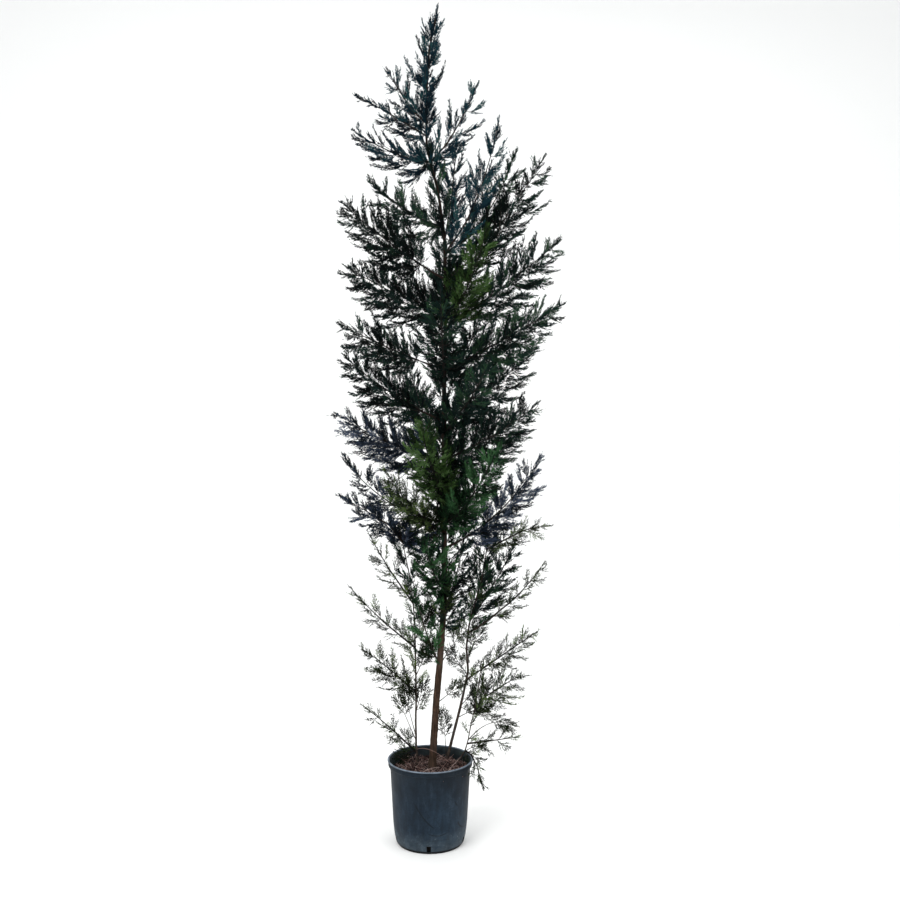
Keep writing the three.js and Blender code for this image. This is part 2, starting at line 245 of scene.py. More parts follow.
def tubes(
    paths: np.ndarray,
    radii: np.ndarray,
    normals: np.ndarray,
    sides: int,
    tint: np.ndarray,
) -> Surface:
    """Many tapering tubes, each along its own path, closed by a point at both ends.

    The ring at a station is centre + radius * (cos a * side + sin a * other), where side is the tube's
    plane normal made square to the path's direction and other completes the frame.

    Args:
        paths: Stations of each tube, as tubes by stations by 3.
        radii: Radius at each station, or at each station and side.
        normals: The plane normal of each tube.
        sides: How many sides the tubes have.
        tint: Material number of each tube.

    Returns:
        The joined surface.
    """
    count, stations = paths.shape[:2]
    ahead = unit(np.gradient(paths, axis=1))
    side = unit(normals[:, None, :] - (normals[:, None, :] * ahead).sum(-1, keepdims=True) * ahead)
    other = np.cross(ahead, side)
    angle = np.arange(sides) * (2.0 * math.pi / sides)
    reach = radii[..., None] if radii.ndim == 2 else radii
    ring = np.cos(angle)[:, None] * side[:, :, None, :] + np.sin(angle)[:, None] * other[:, :, None, :]
    rings = paths[:, :, None, :] + reach[..., None] * ring
    ends = np.stack([paths[:, 0], paths[:, -1] + ahead[:, -1] * reach[:, -1].mean(-1)[:, None]], axis=1)
    per_tube = stations * sides + 2
    points = np.concatenate([rings.reshape(count, -1, 3), ends], axis=1).reshape(-1, 3)
    first = (np.arange(count) * per_tube)[:, None, None]
    quads = (first + grid_faces(stations, sides, True)[None]).reshape(-1, 4)
    around = np.arange(sides)
    beside = (around + 1) % sides
    last = (stations - 1) * sides
    root_cap = np.stack([np.full(sides, stations * sides), beside, around], axis=-1)
    tip_cap = np.stack([np.full(sides, stations * sides + 1), last + around, last + beside], axis=-1)
    caps = (first + np.concatenate([root_cap, tip_cap])[None]).reshape(-1, 3)
    return Surface(
        points,
        [quads, caps],
        [np.repeat(tint, (stations - 1) * sides), np.repeat(tint, 2 * sides)],
    )


def merged_mesh(node: str) -> tuple[np.ndarray, np.ndarray]:
    """The vertices and triangles of a node of the frame.

    Args:
        node: The node's name.

    Returns:
        Vertex positions and three vertex numbers for each triangle.
    """
    mesh = frame["nodes"][node].data
    points = np.empty(len(mesh.vertices) * 3, np.float32)
    mesh.vertices.foreach_get("co", points)
    mesh.calc_loop_triangles()
    triangles = np.empty(len(mesh.loop_triangles) * 3, np.int32)
    mesh.loop_triangles.foreach_get("vertices", triangles)
    return points.reshape(-1, 3).astype(float), triangles.reshape(-1, 3)


def sections(node: str, start: np.ndarray, end: np.ndarray, count: int) -> tuple[np.ndarray, np.ndarray]:
    """Cuts a node with planes square to a line and gives each cut's middle and mean radius.

    A triangle that a plane crosses gives a segment. The middle is the mean of the segments' midpoints,
    weighted by their lengths, and the radius is the weighted mean distance from it.

    Args:
        node: The node's name.
        start: Where the line starts.
        end: Where it ends.
        count: How many planes, evenly spaced along it.

    Returns:
        The middles and the radii of the cuts that meet the node.
    """
    points, triangles = merged_mesh(node)
    axis = unit(end - start)
    span = np.linalg.norm(end - start)
    corner = points[triangles]
    along = (corner - start) @ axis
    middles, radii = [], []
    for level in np.linspace(0.0, span, count):
        crossed = (along.min(1) < level) & (along.max(1) > level)
        if crossed.sum() < 3:
            continue
        c, a = corner[crossed], along[crossed] - level
        cuts = []
        for i, j in ((0, 1), (1, 2), (2, 0)):
            share = a[:, i] / np.where(a[:, i] == a[:, j], 1.0, a[:, i] - a[:, j])
            hit = (a[:, i] * a[:, j] < 0.0)[:, None]
            cuts.append(np.where(hit, c[:, i] + share[:, None] * (c[:, j] - c[:, i]), np.nan))
        cuts = np.stack(cuts, axis=1)
        middle = np.nanmean(cuts, axis=1)
        length = np.linalg.norm(np.nanmax(cuts, axis=1) - np.nanmin(cuts, axis=1), axis=1) + 1e-9
        centre = (middle * length[:, None]).sum(0) / length.sum()
        middles.append(centre)
        radii.append((np.linalg.norm(middle - centre, axis=1) * length).sum() / length.sum())
    return np.array(middles), np.array(radii)


def resampled(path: np.ndarray, count: int, rounds: int = 2) -> np.ndarray:
    """A path with evenly spaced stations, smoothed by averaging each with its neighbours.

    Args:
        path: The stations.
        count: How many stations the new path has.
        rounds: How many times it is smoothed.

    Returns:
        The new stations, with the same two ends.
    """
    for _ in range(rounds):
        steps = np.concatenate([[0.0], np.cumsum(np.linalg.norm(np.diff(path, axis=0), axis=1))])
        even = np.linspace(0.0, steps[-1], count)
        path = np.stack([np.interp(even, steps, path[:, k]) for k in range(3)], axis=1)
        path[1:-1] = 0.25 * path[:-2] + 0.5 * path[1:-1] + 0.25 * path[2:]
    return path


# ---- Finishes -----------------------------------------------------------------------------------------


@dataclass(frozen=True)
class PlainTint:
    """One plain colour of leaf, twig or litter."""

    name: str
    colour: str
    roughness: float = 0.7
    specular: float = 0.04

    def material(self) -> bpy.types.Material:
        """The tint as a material whose values are all constants.

        Returns:
            The new material.
        """
        material = bpy.data.materials.new(self.name)
        material.use_nodes = True
        shader = material.node_tree.nodes["Principled BSDF"]
        shader.inputs["Base Color"].default_value = linear(self.colour)
        shader.inputs["Roughness"].default_value = self.roughness
        shader.inputs["Specular IOR Level"].default_value = self.specular
        return material


def palette(name: str, colours: tuple[str, ...], **finish: float) -> list[bpy.types.Material]:
    """A plain material for each colour, numbered in order.

    Args:
        name: The materials' name, before a number.
        colours: The colours.
        finish: Roughness and specular, where they differ from a leaf's.

    Returns:
        The new materials.
    """
    return [PlainTint(f"{name}_{i}", colour, **finish).material() for i, colour in enumerate(colours)]


class NodeBook:
    """A material's nodes, written one line at a time."""

    def __init__(self, name: str) -> None:
        """Starts a material with its principled shader.

        Args:
            name: The material's name.
        """
        self.material = bpy.data.materials.new(name)
        self.material.use_nodes = True
        self.tree = self.material.node_tree
        self.shader = self.tree.nodes["Principled BSDF"]
        self.place = self.tree.nodes.new("ShaderNodeTexCoord").outputs["Object"]

    def link(self, source: bpy.types.NodeSocket, target: bpy.types.NodeSocket) -> None:
        """Joins an output to an input."""
        self.tree.links.new(source, target)

    def stretched(self, scale: tuple[float, float, float]) -> bpy.types.NodeSocket:
        """Object coordinates scaled along each axis.

        Args:
            scale: The scale along X, Y and Z.

        Returns:
            The coordinates' output.
        """
        node = self.tree.nodes.new("ShaderNodeMapping")
        node.inputs["Scale"].default_value = scale
        self.link(self.place, node.inputs["Vector"])
        return node.outputs["Vector"]

    def noise(
        self,
        scale: float,
        detail: float = 4.0,
        stretch: tuple[float, float, float] = (1, 1, 1),
        rough: float = 0.55,
    ) -> bpy.types.NodeSocket:
        """A noise pattern's value.

        Args:
            scale: Repeats in a metre.
            detail: How many finer octaves.
            stretch: Scale along each axis before the noise.
            rough: How strong the finer octaves are.

        Returns:
            The value's output.
        """
        node = self.tree.nodes.new("ShaderNodeTexNoise")
        node.inputs["Scale"].default_value = scale
        node.inputs["Detail"].default_value = detail
        node.inputs["Roughness"].default_value = rough
        self.link(self.stretched(stretch), node.inputs["Vector"])
        return node.outputs["Fac"]

    def ramp(self, value: bpy.types.NodeSocket, stops: list[tuple[float, str]]) -> bpy.types.NodeSocket:
        """Colours for a value between 0 and 1.

        Args:
            value: The value's output.
            stops: Place and colour of each stop.

        Returns:
            The colour's output.
        """
        node = self.tree.nodes.new("ShaderNodeValToRGB")
        band = node.color_ramp
        while len(band.elements) < len(stops):
            band.elements.new(0.5)
        for element, (place, colour) in zip(band.elements, stops):
            element.position = place
            element.color = linear(colour)
        self.link(value, node.inputs["Fac"])
        return node.outputs["Color"]

    def levels(
        self, value: bpy.types.NodeSocket, low: float, high: float, a: float, b: float
    ) -> bpy.types.NodeSocket:
        """Maps a value evenly from one range to another and holds it inside that.

        Args:
            value: The value's output.
            low: Where the first range starts.
            high: Where it ends.
            a: The result at low.
            b: The result at high.

        Returns:
            The result's output.
        """
        node = self.tree.nodes.new("ShaderNodeMapRange")
        for key, number in zip(("From Min", "From Max", "To Min", "To Max"), (low, high, a, b)):
            node.inputs[key].default_value = number
        self.link(value, node.inputs["Value"])
        return node.outputs["Result"]

    def mixed(
        self, share: bpy.types.NodeSocket, one: bpy.types.NodeSocket, two: bpy.types.NodeSocket | str
    ) -> bpy.types.NodeSocket:
        """Mixes a colour with another colour or with a plain one.

        Args:
            share: How much of the second shows.
            one: The first colour.
            two: The second colour, or its six digits.

        Returns:
            The mixed colour's output.
        """
        node = self.tree.nodes.new("ShaderNodeMix")
        node.data_type = "RGBA"
        self.link(share, node.inputs["Factor"])
        self.link(one, node.inputs["A"])
        if isinstance(two, str):
            node.inputs["B"].default_value = linear(two)
        else:
            self.link(two, node.inputs["B"])
        return node.outputs["Result"]

    def times(self, one: bpy.types.NodeSocket, two: bpy.types.NodeSocket) -> bpy.types.NodeSocket:
        """The product of two values.

        Args:
            one: The first value's output.
            two: The second value's output.

        Returns:
            The product's output.
        """
        node = self.tree.nodes.new("ShaderNodeMath")
        node.operation = "MULTIPLY"
        self.link(one, node.inputs[0])
        self.link(two, node.inputs[1])
        return node.outputs[0]

    def away_from(self, value: bpy.types.NodeSocket, middle: float) -> bpy.types.NodeSocket:
        """How far a value is from a number, either way.

        Args:
            value: The value's output.
            middle: The number.

        Returns:
            The distance's output.
        """
        node = self.tree.nodes.new("ShaderNodeMath")
        node.operation = "SUBTRACT"
        node.inputs[1].default_value = middle
        self.link(value, node.inputs[0])
        size = self.tree.nodes.new("ShaderNodeMath")
        size.operation = "ABSOLUTE"
        self.link(node.outputs[0], size.inputs[0])
        return size.outputs[0]

    def front_of_place(self) -> tuple[bpy.types.NodeSocket, bpy.types.NodeSocket]:
        """The X and the Z of object coordinates, in metres.

        Returns:
            Their outputs.
        """
        node = self.tree.nodes.new("ShaderNodeSeparateXYZ")
        self.link(self.place, node.inputs[0])
        return node.outputs["X"], node.outputs["Z"]

    def circle_line(
        self,
        x: bpy.types.NodeSocket,
        z: bpy.types.NodeSocket,
        centre: tuple[float, float],
        radius: float,
        half_width: float,
    ) -> bpy.types.NodeSocket:
        """How close a place is to a circle drawn on the XZ plane, on its front half only.

        The value is 1 - distance from the line / half_width, and not below 0, where the distance is that of
        sqrt((x - centre x)^2 + (z - centre z)^2) from the radius.

        Args:
            x: The place's X.
            z: The place's Z.
            centre: X and Z of the circle's centre.
            radius: The circle's radius.
            half_width: Half the width of the line.

        Returns:
            The value's output.
        """
        joined = self.tree.nodes.new("ShaderNodeCombineXYZ")
        self.link(x, joined.inputs["X"])
        self.link(z, joined.inputs["Z"])
        gap = self.tree.nodes.new("ShaderNodeVectorMath")
        gap.operation = "DISTANCE"
        gap.inputs[1].default_value = (centre[0], 0.0, centre[1])
        self.link(joined.outputs[0], gap.inputs[0])
        near = self.levels(self.away_from(gap.outputs["Value"], radius), 0.0, half_width, 1.0, 0.0)
        depth = self.tree.nodes.new("ShaderNodeSeparateXYZ")
        self.link(self.place, depth.inputs[0])
        front = self.levels(depth.outputs["Y"], -10 * MM, 0.0, 1.0, 0.0)
        return self.times(near, front)

    def bump(self, value: bpy.types.NodeSocket, distance: float, strength: float = 1.0) -> None:
        """Gives the shader a bump.

        Args:
            value: The height's output, from 0 to 1.
            distance: The bump's depth in metres.
            strength: How strongly it shows.
        """
        node = self.tree.nodes.new("ShaderNodeBump")
        node.inputs["Distance"].default_value = distance
        node.inputs["Strength"].default_value = strength
        self.link(value, node.inputs["Height"])
        self.link(node.outputs["Normal"], self.shader.inputs["Normal"])

    def paint(self, colour: bpy.types.NodeSocket) -> None:
        """Sets the shader's base colour."""
        self.link(colour, self.shader.inputs["Base Color"])

    def set(self, **values: float) -> None:
        """Sets the shader's constants, named with underscores for spaces."""
        for key, value in values.items():
            self.shader.inputs[key.replace("_", " ")].default_value = value


@dataclass(frozen=True)
class BarkFinish:
    """Thin, stringy bark: red-brown, with narrow dark clefts and grey patches, darker where it is young.

    Old_to and young_from are the heights between which the bark turns from old to young.
    """

    name: str = "cypress_bark"
    cleft: str = "21170f"
    strip: str = "30241c"
    ridge: str = "4d392d"
    weathered: str = "463d35"
    young: str = "1c1512"
    old_to: float = 0.6
    young_from: float = 1.15
    depth: float = 0.9 * MM

    def material(self) -> bpy.types.Material:
        """The bark as a node material.

        Returns:
            The new material.
        """
        book = NodeBook(self.name)
        strips = book.noise(230.0, 6.0, (1.0, 1.0, 0.16))
        flakes = book.noise(90.0, 5.0, (1.0, 1.0, 0.7))
        rings = book.noise(120.0, 3.0, (0.5, 0.5, 1.6))
        patches = book.noise(14.0, 3.0)
        colour = book.ramp(strips, [(0.3, self.cleft), (0.46, self.strip), (0.72, self.ridge)])
        colour = book.mixed(book.levels(flakes, 0.56, 0.7, 0.0, 0.6), colour, self.cleft)
        colour = book.mixed(book.levels(rings, 0.58, 0.66, 0.0, 0.75), colour, self.cleft)
        colour = book.mixed(book.levels(patches, 0.48, 0.72, 0.0, 0.6), colour, self.weathered)
        height = book.front_of_place()[1]
        young = book.levels(height, self.old_to, self.young_from, 0.0, 0.85)
        book.paint(book.mixed(young, colour, self.young))
        book.bump(strips, self.depth)
        book.set(Roughness=0.9, Specular_IOR_Level=0.12)
        return book.material


@dataclass(frozen=True)
class Scratch:
    """A shallow scratch on the pot, drawn as a dark line of painted shade: part of a circle, seen square
    on from the front.

    Its centre is given by x and z, its radius and half its width in metres. Low and high bound it in z.
    """

    x: float
    z: float
    radius: float
    low: float
    high: float
    half_width: float = 1.6 * MM


@dataclass(frozen=True)
class PotFinish:
    """Blue-black moulded plastic: clouded and scratched, dusty at its foot, with painted shade in its
    creases, its scratches and under the lip, and a painted highlight along the rim.

    Heights and widths are in metres. The wall darkens with painted shade under the lip over the heights in
    shaded, is dusty up to dusty_to, has a painted highlight along the rim over two heights, and has a
    painted shade line at its foot that ends over two more.
    """

    name: str = "pot_plastic"
    body: str = "121e29"
    cloud: str = "1c2b38"
    crease: str = "0a1015"
    dust: str = "55626b"
    # Colour of the painted shade at the foot.
    foot: str = "0b0f13"
    inside: str = "2a3335"
    scuff: str = "8b9499"
    dark_streak: str = "111921"
    light_streak: str = "2b3946"
    # Colour of the painted highlight along the rim's top edge.
    worn: str = "76818d"
    # Heights over which the painted shade under the lip deepens.
    shaded: tuple[float, float] = (0.15, 0.26)
    dusty_to: float = 75 * MM
    # Heights of the painted highlight along the rim.
    rim_highlight_heights: tuple[float, float] = (276 * MM, 278.5 * MM)
    # Heights over which the painted shade line at the foot fades out.
    foot_shade_heights: tuple[float, float] = (7.5 * MM, 10.5 * MM)
    fade: float = 6 * MM
    grain: float = 0.5 * MM
    scratches: tuple[Scratch, ...] = (
        Scratch(0.144, 0.256, 0.21, 0.088, 0.168, 3.4 * MM),
        Scratch(0.028, 0.124, 0.06, 0.058, 0.074, 2.6 * MM),
        Scratch(0.035, -0.17, 0.218, 0.043, 0.052),
        Scratch(0.13, 0.1, 0.036, 0.062, 0.1, 3.0 * MM),
        Scratch(0.128, 0.178, 0.045, 0.15, 0.172, 3.2 * MM),
    )

    def material(self) -> bpy.types.Material:
        """The plastic as a node material.

        Returns:
            The new material.
        """
        book = NodeBook(self.name)
        cloud = book.noise(9.0, 4.0, (1.0, 1.0, 0.8), 0.6)
        fine = book.noise(38.0, 5.0, (1.0, 1.0, 1.4), 0.65)
        speck = book.noise(300.0, 2.0)
        streaks = book.noise(60.0, 4.0, (1.0, 1.0, 0.22), 0.6)
        x, z = book.front_of_place()
        colour = book.ramp(cloud, [(0.38, self.body), (0.64, self.cloud)])
        colour = book.mixed(book.levels(streaks, 0.5, 0.64, 0.0, 0.5), colour, self.dark_streak)
        colour = book.mixed(book.levels(streaks, 0.36, 0.46, 0.45, 0.0), colour, self.light_streak)
        # Painted shade in fine creases: thin dark lines along one level of the fine noise.
        crease_shade_lines = book.levels(book.away_from(fine, 0.5), 0.0, 0.02, 0.6, 0.0)
        colour = book.mixed(crease_shade_lines, colour, self.crease)
        # Painted shade under the overhanging lip: the wall darkens towards the top.
        colour = book.mixed(book.levels(z, *self.shaded, 0.0, 0.6), colour, self.crease)
        # Scratches drawn as dark lines of painted shade, faded out at their lowest and highest points.
        for scratch in self.scratches:
            line = book.circle_line(x, z, (scratch.x, scratch.z), scratch.radius, scratch.half_width)
            held = book.times(book.levels(z, scratch.low, scratch.low + self.fade, 0.0, 1.0), line)
            held = book.times(book.levels(z, scratch.high - self.fade, scratch.high, 1.0, 0.0), held)
            colour = book.mixed(held, colour, self.crease)
        low = book.levels(z, 0.0, self.dusty_to, 1.0, 0.0)
        dusty = book.times(book.levels(fine, 0.35, 0.6, 0.15, 0.55), low)
        colour = book.mixed(dusty, colour, self.dust)
        specks = book.levels(speck, 0.62, 0.68, 0.0, 0.9)
        scuffed = book.times(specks, book.levels(fine, 0.54, 0.6, 0.0, 1.0))
        colour = book.mixed(book.times(scuffed, low), colour, self.scuff)
        # Painted highlight along the top of the rim, broken up by the fine noise.
        rim = book.levels(z, *self.rim_highlight_heights, 0.0, 1.0)
        rim_highlight_share = book.times(rim, book.levels(fine, 0.35, 0.6, 0.5, 1.0))
        colour = book.mixed(rim_highlight_share, colour, self.worn)
        # Painted shade at the foot: a dark line along the bottom edge, where the step's shade falls.
        book.paint(book.mixed(book.levels(z, *self.foot_shade_heights, 1.0, 0.0), colour, self.foot))
        book.link(book.levels(cloud, 0.3, 0.7, 0.6, 0.45), book.shader.inputs["Roughness"])
        book.bump(fine, self.grain)
        book.set(Specular_IOR_Level=0.12)
        return book.material

    def lining(self) -> bpy.types.Material:
        """The inside of the wall and the slots' sides: the same plastic, dull and grey, mottled with
        painted shade.

        Returns:
            The new material.
        """
        book = NodeBook(self.name + "_inside")
        inside_mottle = book.noise(30.0, 5.0)
        # Painted shade of the pot's inside: the grey lining darkens in blotches to the shade colour.
        book.paint(book.ramp(inside_mottle, [(0.35, self.inside), (0.7, self.crease)]))
        book.bump(inside_mottle, self.grain)
        book.set(Roughness=0.7, Specular_IOR_Level=0.15)
        return book.material


@dataclass(frozen=True)
class CompostFinish:
    """Dark fibrous potting compost."""

    name: str = "compost"
    damp: str = "060404"
    crumb: str = "0f0a09"
    dry: str = "221918"
    depth: float = 3 * MM

    def material(self) -> bpy.types.Material:
        """The compost as a node material.

        Returns:
            The new material.
        """
        book = NodeBook(self.name)
        crumbs = book.noise(190.0, 6.0)
        book.paint(book.ramp(crumbs, [(0.38, self.damp), (0.54, self.crumb), (0.7, self.dry)]))
        book.bump(crumbs, self.depth)
        book.set(Roughness=0.95, Specular_IOR_Level=0.1)
        return book.material


# ---- Shoots -------------------------------------------------------------------------------------------


@dataclass(frozen=True)
class Shoots:
    """Many shoots of one order: their stations, the normals of their branching planes, and their tints."""

    path: np.ndarray
    plane: np.ndarray
    tint: np.ndarray

    def lengths(self) -> np.ndarray:
        """The length of each shoot."""
        return np.linalg.norm(np.diff(self.path, axis=1), axis=2).sum(1)

    def at(self, owner: np.ndarray, share: np.ndarray) -> tuple[np.ndarray, np.ndarray]:
        """Points on the shoots and the directions there.

        Args:
            owner: Which shoot each point lies on.
            share: Its share of the shoot's stations, 0 at the root and 1 at the tip.

        Returns:
            Points and unit directions.
        """
        step = share * (self.path.shape[1] - 1)
        low = np.minimum(step.astype(int), self.path.shape[1] - 2)
        rest = (step - low)[:, None]
        a, b = self.path[owner, low], self.path[owner, low + 1]
        return a + rest * (b - a), unit(b - a)

    def kept(self, mask: np.ndarray) -> "Shoots":
        """The shoots that a mask keeps."""
        return Shoots(self.path[mask], self.plane[mask], self.tint[mask])

    def dealt(self, rng: np.random.Generator, tints: int, steps: int) -> "Shoots":
        """The same shoots with each tint moved by up to some steps along the palette.

        Args:
            rng: The random numbers.
            tints: How many tints the palette has.
            steps: The most steps that a tint may move.

        Returns:
            The new shoots.
        """
        moved = self.tint + rng.integers(-steps, steps + 1, len(self.tint))
        return replace(self, tint=np.clip(moved, 0, tints - 1))

    @staticmethod
    def joined(parts: list["Shoots"]) -> "Shoots":
        """Several sets of shoots as one."""
        keys = ("path", "plane", "tint")
        return Shoots(*(np.concatenate([getattr(p, key) for p in parts]) for key in keys))


@dataclass(frozen=True)
class Branching:
    """How shoots of one order stand on their parents. Lengths are in metres and angles in radians.

    A parent is bare for a share of its length, and further if its leafy part, measured back from its tip,
    is short. The angle is the share wide of itself at the parent's root and falls by the share narrowing
    towards the tip. Wobble, stray and tilt are the spreads of the angle, of the way the tip points and of
    the child's plane.
    """

    spacing: float
    length: float
    angle: float
    bare: float = 0.0
    leafy: float = 1.0
    whorled: bool = False
    roll: float = 0.25
    forward: float = 0.5
    lift: float = 0.0
    shortest: float = 0.7
    root_share: float = 0.6
    tip_share: float = 0.45
    belly: float = 0.35
    stations: int = 4
    wide: float = 1.15
    narrowing: float = 0.45
    wobble: float = 0.12
    stray: float = 0.08
    tilt: float = 0.22

    def outline(self, share: np.ndarray) -> np.ndarray:
        """Relative length along the parent: from root_share up to 1 at the belly, then down to tip_share.

        Args:
            share: How far along the parent's leafy part each child stands.

        Returns:
            Each child's relative length.
        """
        rise = np.clip(share / self.belly, 0.0, 1.0)
        fall = np.clip((share - self.belly) / (1.0 - self.belly), 0.0, 1.0)
        return (self.root_share + (1.0 - self.root_share) * rise) * (1.0 - (1.0 - self.tip_share) * fall)

    def children(self, parents: Shoots, rng: np.random.Generator) -> Shoots:
        """Grows the next order.

        A child leaves its parent at the branching angle, in the parent's plane by turns left and right,
        or all round it by the golden angle. Its direction then swings evenly towards the parent's and
        upwards, so its path is start + length * (first * s + (last - first) * s * s / 2) for s from 0 to
        1.

        Args:
            parents: The shoots that carry the new ones.
            rng: The random numbers.

        Returns:
            The children, with their parents' tints.
        """
        lengths = parents.lengths()
        bare = np.maximum(self.bare, 1.0 - self.leafy / lengths)
        count = np.maximum(1, np.round(lengths * (1.0 - bare) / self.spacing).astype(int))
        owner = np.repeat(np.arange(len(count)), count)
        order = np.arange(len(owner)) - np.repeat(np.cumsum(count) - count, count)
        run = (order + rng.uniform(0.25, 0.75, len(owner))) / count[owner]
        share = bare[owner] + (1.0 - bare[owner]) * run
        start, ahead = parents.at(owner, share)
        normal = parents.plane[owner]
        normal = unit(normal - (normal * ahead).sum(1, keepdims=True) * ahead)
        across = np.cross(ahead, normal)
        turn = order * GOLDEN_ANGLE + owner * FIRST_TURN if self.whorled else (order % 2 - 0.5) * math.pi
        turn = turn + rng.normal(0.0, self.roll, len(owner))
        out = np.cos(turn)[:, None] * normal + np.sin(turn)[:, None] * across
        varied = self.angle * (1.0 + rng.normal(0.0, self.wobble, len(owner)))[:, None]
        angle = varied * (self.wide - self.narrowing * run[:, None])
        first = np.cos(angle) * ahead + np.sin(angle) * out
        stray = rng.normal(0.0, self.stray, first.shape)
        last = unit(first + self.forward * ahead + self.lift * UP + stray)
        length = self.length * self.outline(run) * rng.uniform(self.shortest, 1.0, len(owner))
        s = np.linspace(0.0, 1.0, self.stations)[None, :, None]
        bend = first[:, None] * s + (last - first)[:, None] * (0.5 * s * s)
        path = start[:, None] + length[:, None, None] * bend
        plane = unit(np.cross(ahead, out) + rng.normal(0.0, self.tilt, first.shape))
        return Shoots(path, plane, parents.tint[owner])


def tapering(shoots: Shoots, root: float, tip: float) -> np.ndarray:
    """A radius at each station, falling evenly from root to tip."""
    share = np.linspace(0.0, 1.0, shoots.path.shape[1])
    return np.broadcast_to(root + (tip - root) * share, shoots.path.shape[:2])


def spindles(shoots: Shoots, radius: float) -> Surface:
    """A closed three-sided spindle for each shoot: points at its root and tip, and a ring at its middle.

    Args:
        shoots: Where the spindles lie.
        radius: Their radius at the ring.

    Returns:
        The joined surface.
    """
    root, middle, tip = (shoots.path[:, i] for i in (0, shoots.path.shape[1] // 2, -1))
    ahead = unit(tip - root)
    side = unit(np.cross(ahead, shoots.plane))
    other = np.cross(ahead, side)
    turn = np.arange(3) * (2.0 * math.pi / 3.0)
    ring = np.cos(turn)[None, :, None] * side[:, None] + np.sin(turn)[None, :, None] * other[:, None]
    points = np.concatenate([middle[:, None] + radius * ring, root[:, None], tip[:, None]], axis=1)
    corners = np.array([[1, 0, 3], [2, 1, 3], [0, 2, 3], [0, 1, 4], [1, 2, 4], [2, 0, 4]])
    faces = 5 * np.arange(len(root))[:, None, None] + corners[None]
    return Surface(points.reshape(-1, 3), [faces.reshape(-1, 3)], [np.repeat(shoots.tint, len(corners))])


def blades(shoots: Shoots, slimness: float) -> Surface:
    """A folded kite for each shoot, from its root to its tip: two triangles that meet along its middle.

    The kite's two side corners lie a little before the middle, half its width out across the shoot's
    plane, and are let down a little below it, so that the blade is keeled like a scale-leaf shoot.

    Args:
        shoots: Where the blades lie.
        slimness: The blades' width as a share of their length.

    Returns:
        The joined surface.
    """
    root, tip = shoots.path[:, 0], shoots.path[:, -1]
    ahead = unit(tip - root)
    width = slimness * np.linalg.norm(tip - root, axis=1, keepdims=True)
    across = unit(np.cross(shoots.plane, ahead)) * (0.5 * width)
    keel = unit(np.cross(ahead, across)) * (BLADE_KEEL * width)
    middle = root + BLADE_WIDEST * (tip - root) - keel
    points = np.stack([root, middle - across, tip, middle + across], axis=1).reshape(-1, 3)
    faces = 4 * np.arange(len(root))[:, None, None] + np.array([[0, 1, 2], [0, 2, 3]])[None]
    return Surface(points, [faces.reshape(-1, 3)], [np.repeat(shoots.tint, 2)])


# ---- Foliage ------------------------------------------------------------------------------------------


@dataclass(frozen=True)
class Reach:
    """How a mass is filled: branches run from its leading shoot to evenly scattered points inside it.

    Lengths are in metres. Slant, sag, bow and sway are shares of a branch's length. Spread moves a point
    away from the leading shoot by a factor, so that the sprays of neighbouring masses mingle, and the
    branch ends beyond the point, turned onward a little along that shoot. In a small mass the points' gap
    is no more than the share small of the cube root of its volume. The gap grows from the share heart of
    itself beside the leading shoot to the share edge where the mass is widest. Branches leave the shoot
    between the two shares of its length in leaving.
    """

    gap: float
    small: float = 0.42
    heart: float = 0.84
    edge: float = 1.1
    spread: float = 1.18
    beyond: float = 14 * MM
    onward: float = 20 * MM
    leaving: tuple[float, float] = (0.03, 0.97)
    slant: float = 0.95
    sag: float = 0.14
    bow: float = 0.10
    sway: float = 0.07
    stations: int = 8


@dataclass(frozen=True)
class Habit:
    """How the foliage of one kind grows and which tints it is dealt, from dark to light.

    A kind that names its masses takes them from the kind that has the rest of their slot. A leading shoot
    is leafy from a share of its length. Branches turn upwards the more, the higher their plume's middle
    stands: none more at the height low, and the share steepest more at a height of climb above it.
    """

    slot: str
    tints: tuple[str, ...]
    reach: Reach
    twig: Branching
    blade: Branching
    slimness: float = 0.32
    masses: tuple[str, ...] = ()
    leafy_from: float = 0.66
    low: float = 1.0
    climb: float = 1.2
    steepest: float = 0.12

    def steepened(self, height: float) -> Reach:
        """The reach of a plume at a height: the higher its middle, the more its branches turn upwards."""
        steep = min(max((height - self.low) / self.climb, 0.0), 1.0)
        return replace(self.reach, sag=self.reach.sag + self.steepest * steep)


FULL_TWIG = Branching(
    spacing=4.4 * MM, length=54 * MM, angle=0.5, bare=0.1, leafy=105 * MM, roll=0.8, forward=0.6, lift=0.3,
    shortest=0.4, root_share=0.75, tip_share=0.22, belly=0.3, stations=3,
)
FULL_BLADE = Branching(
    spacing=2.9 * MM, length=13.5 * MM, angle=0.42, bare=0.04, roll=0.6, forward=0.3, shortest=0.55,
    root_share=0.9, tip_share=0.5, belly=0.3, stations=2,
)


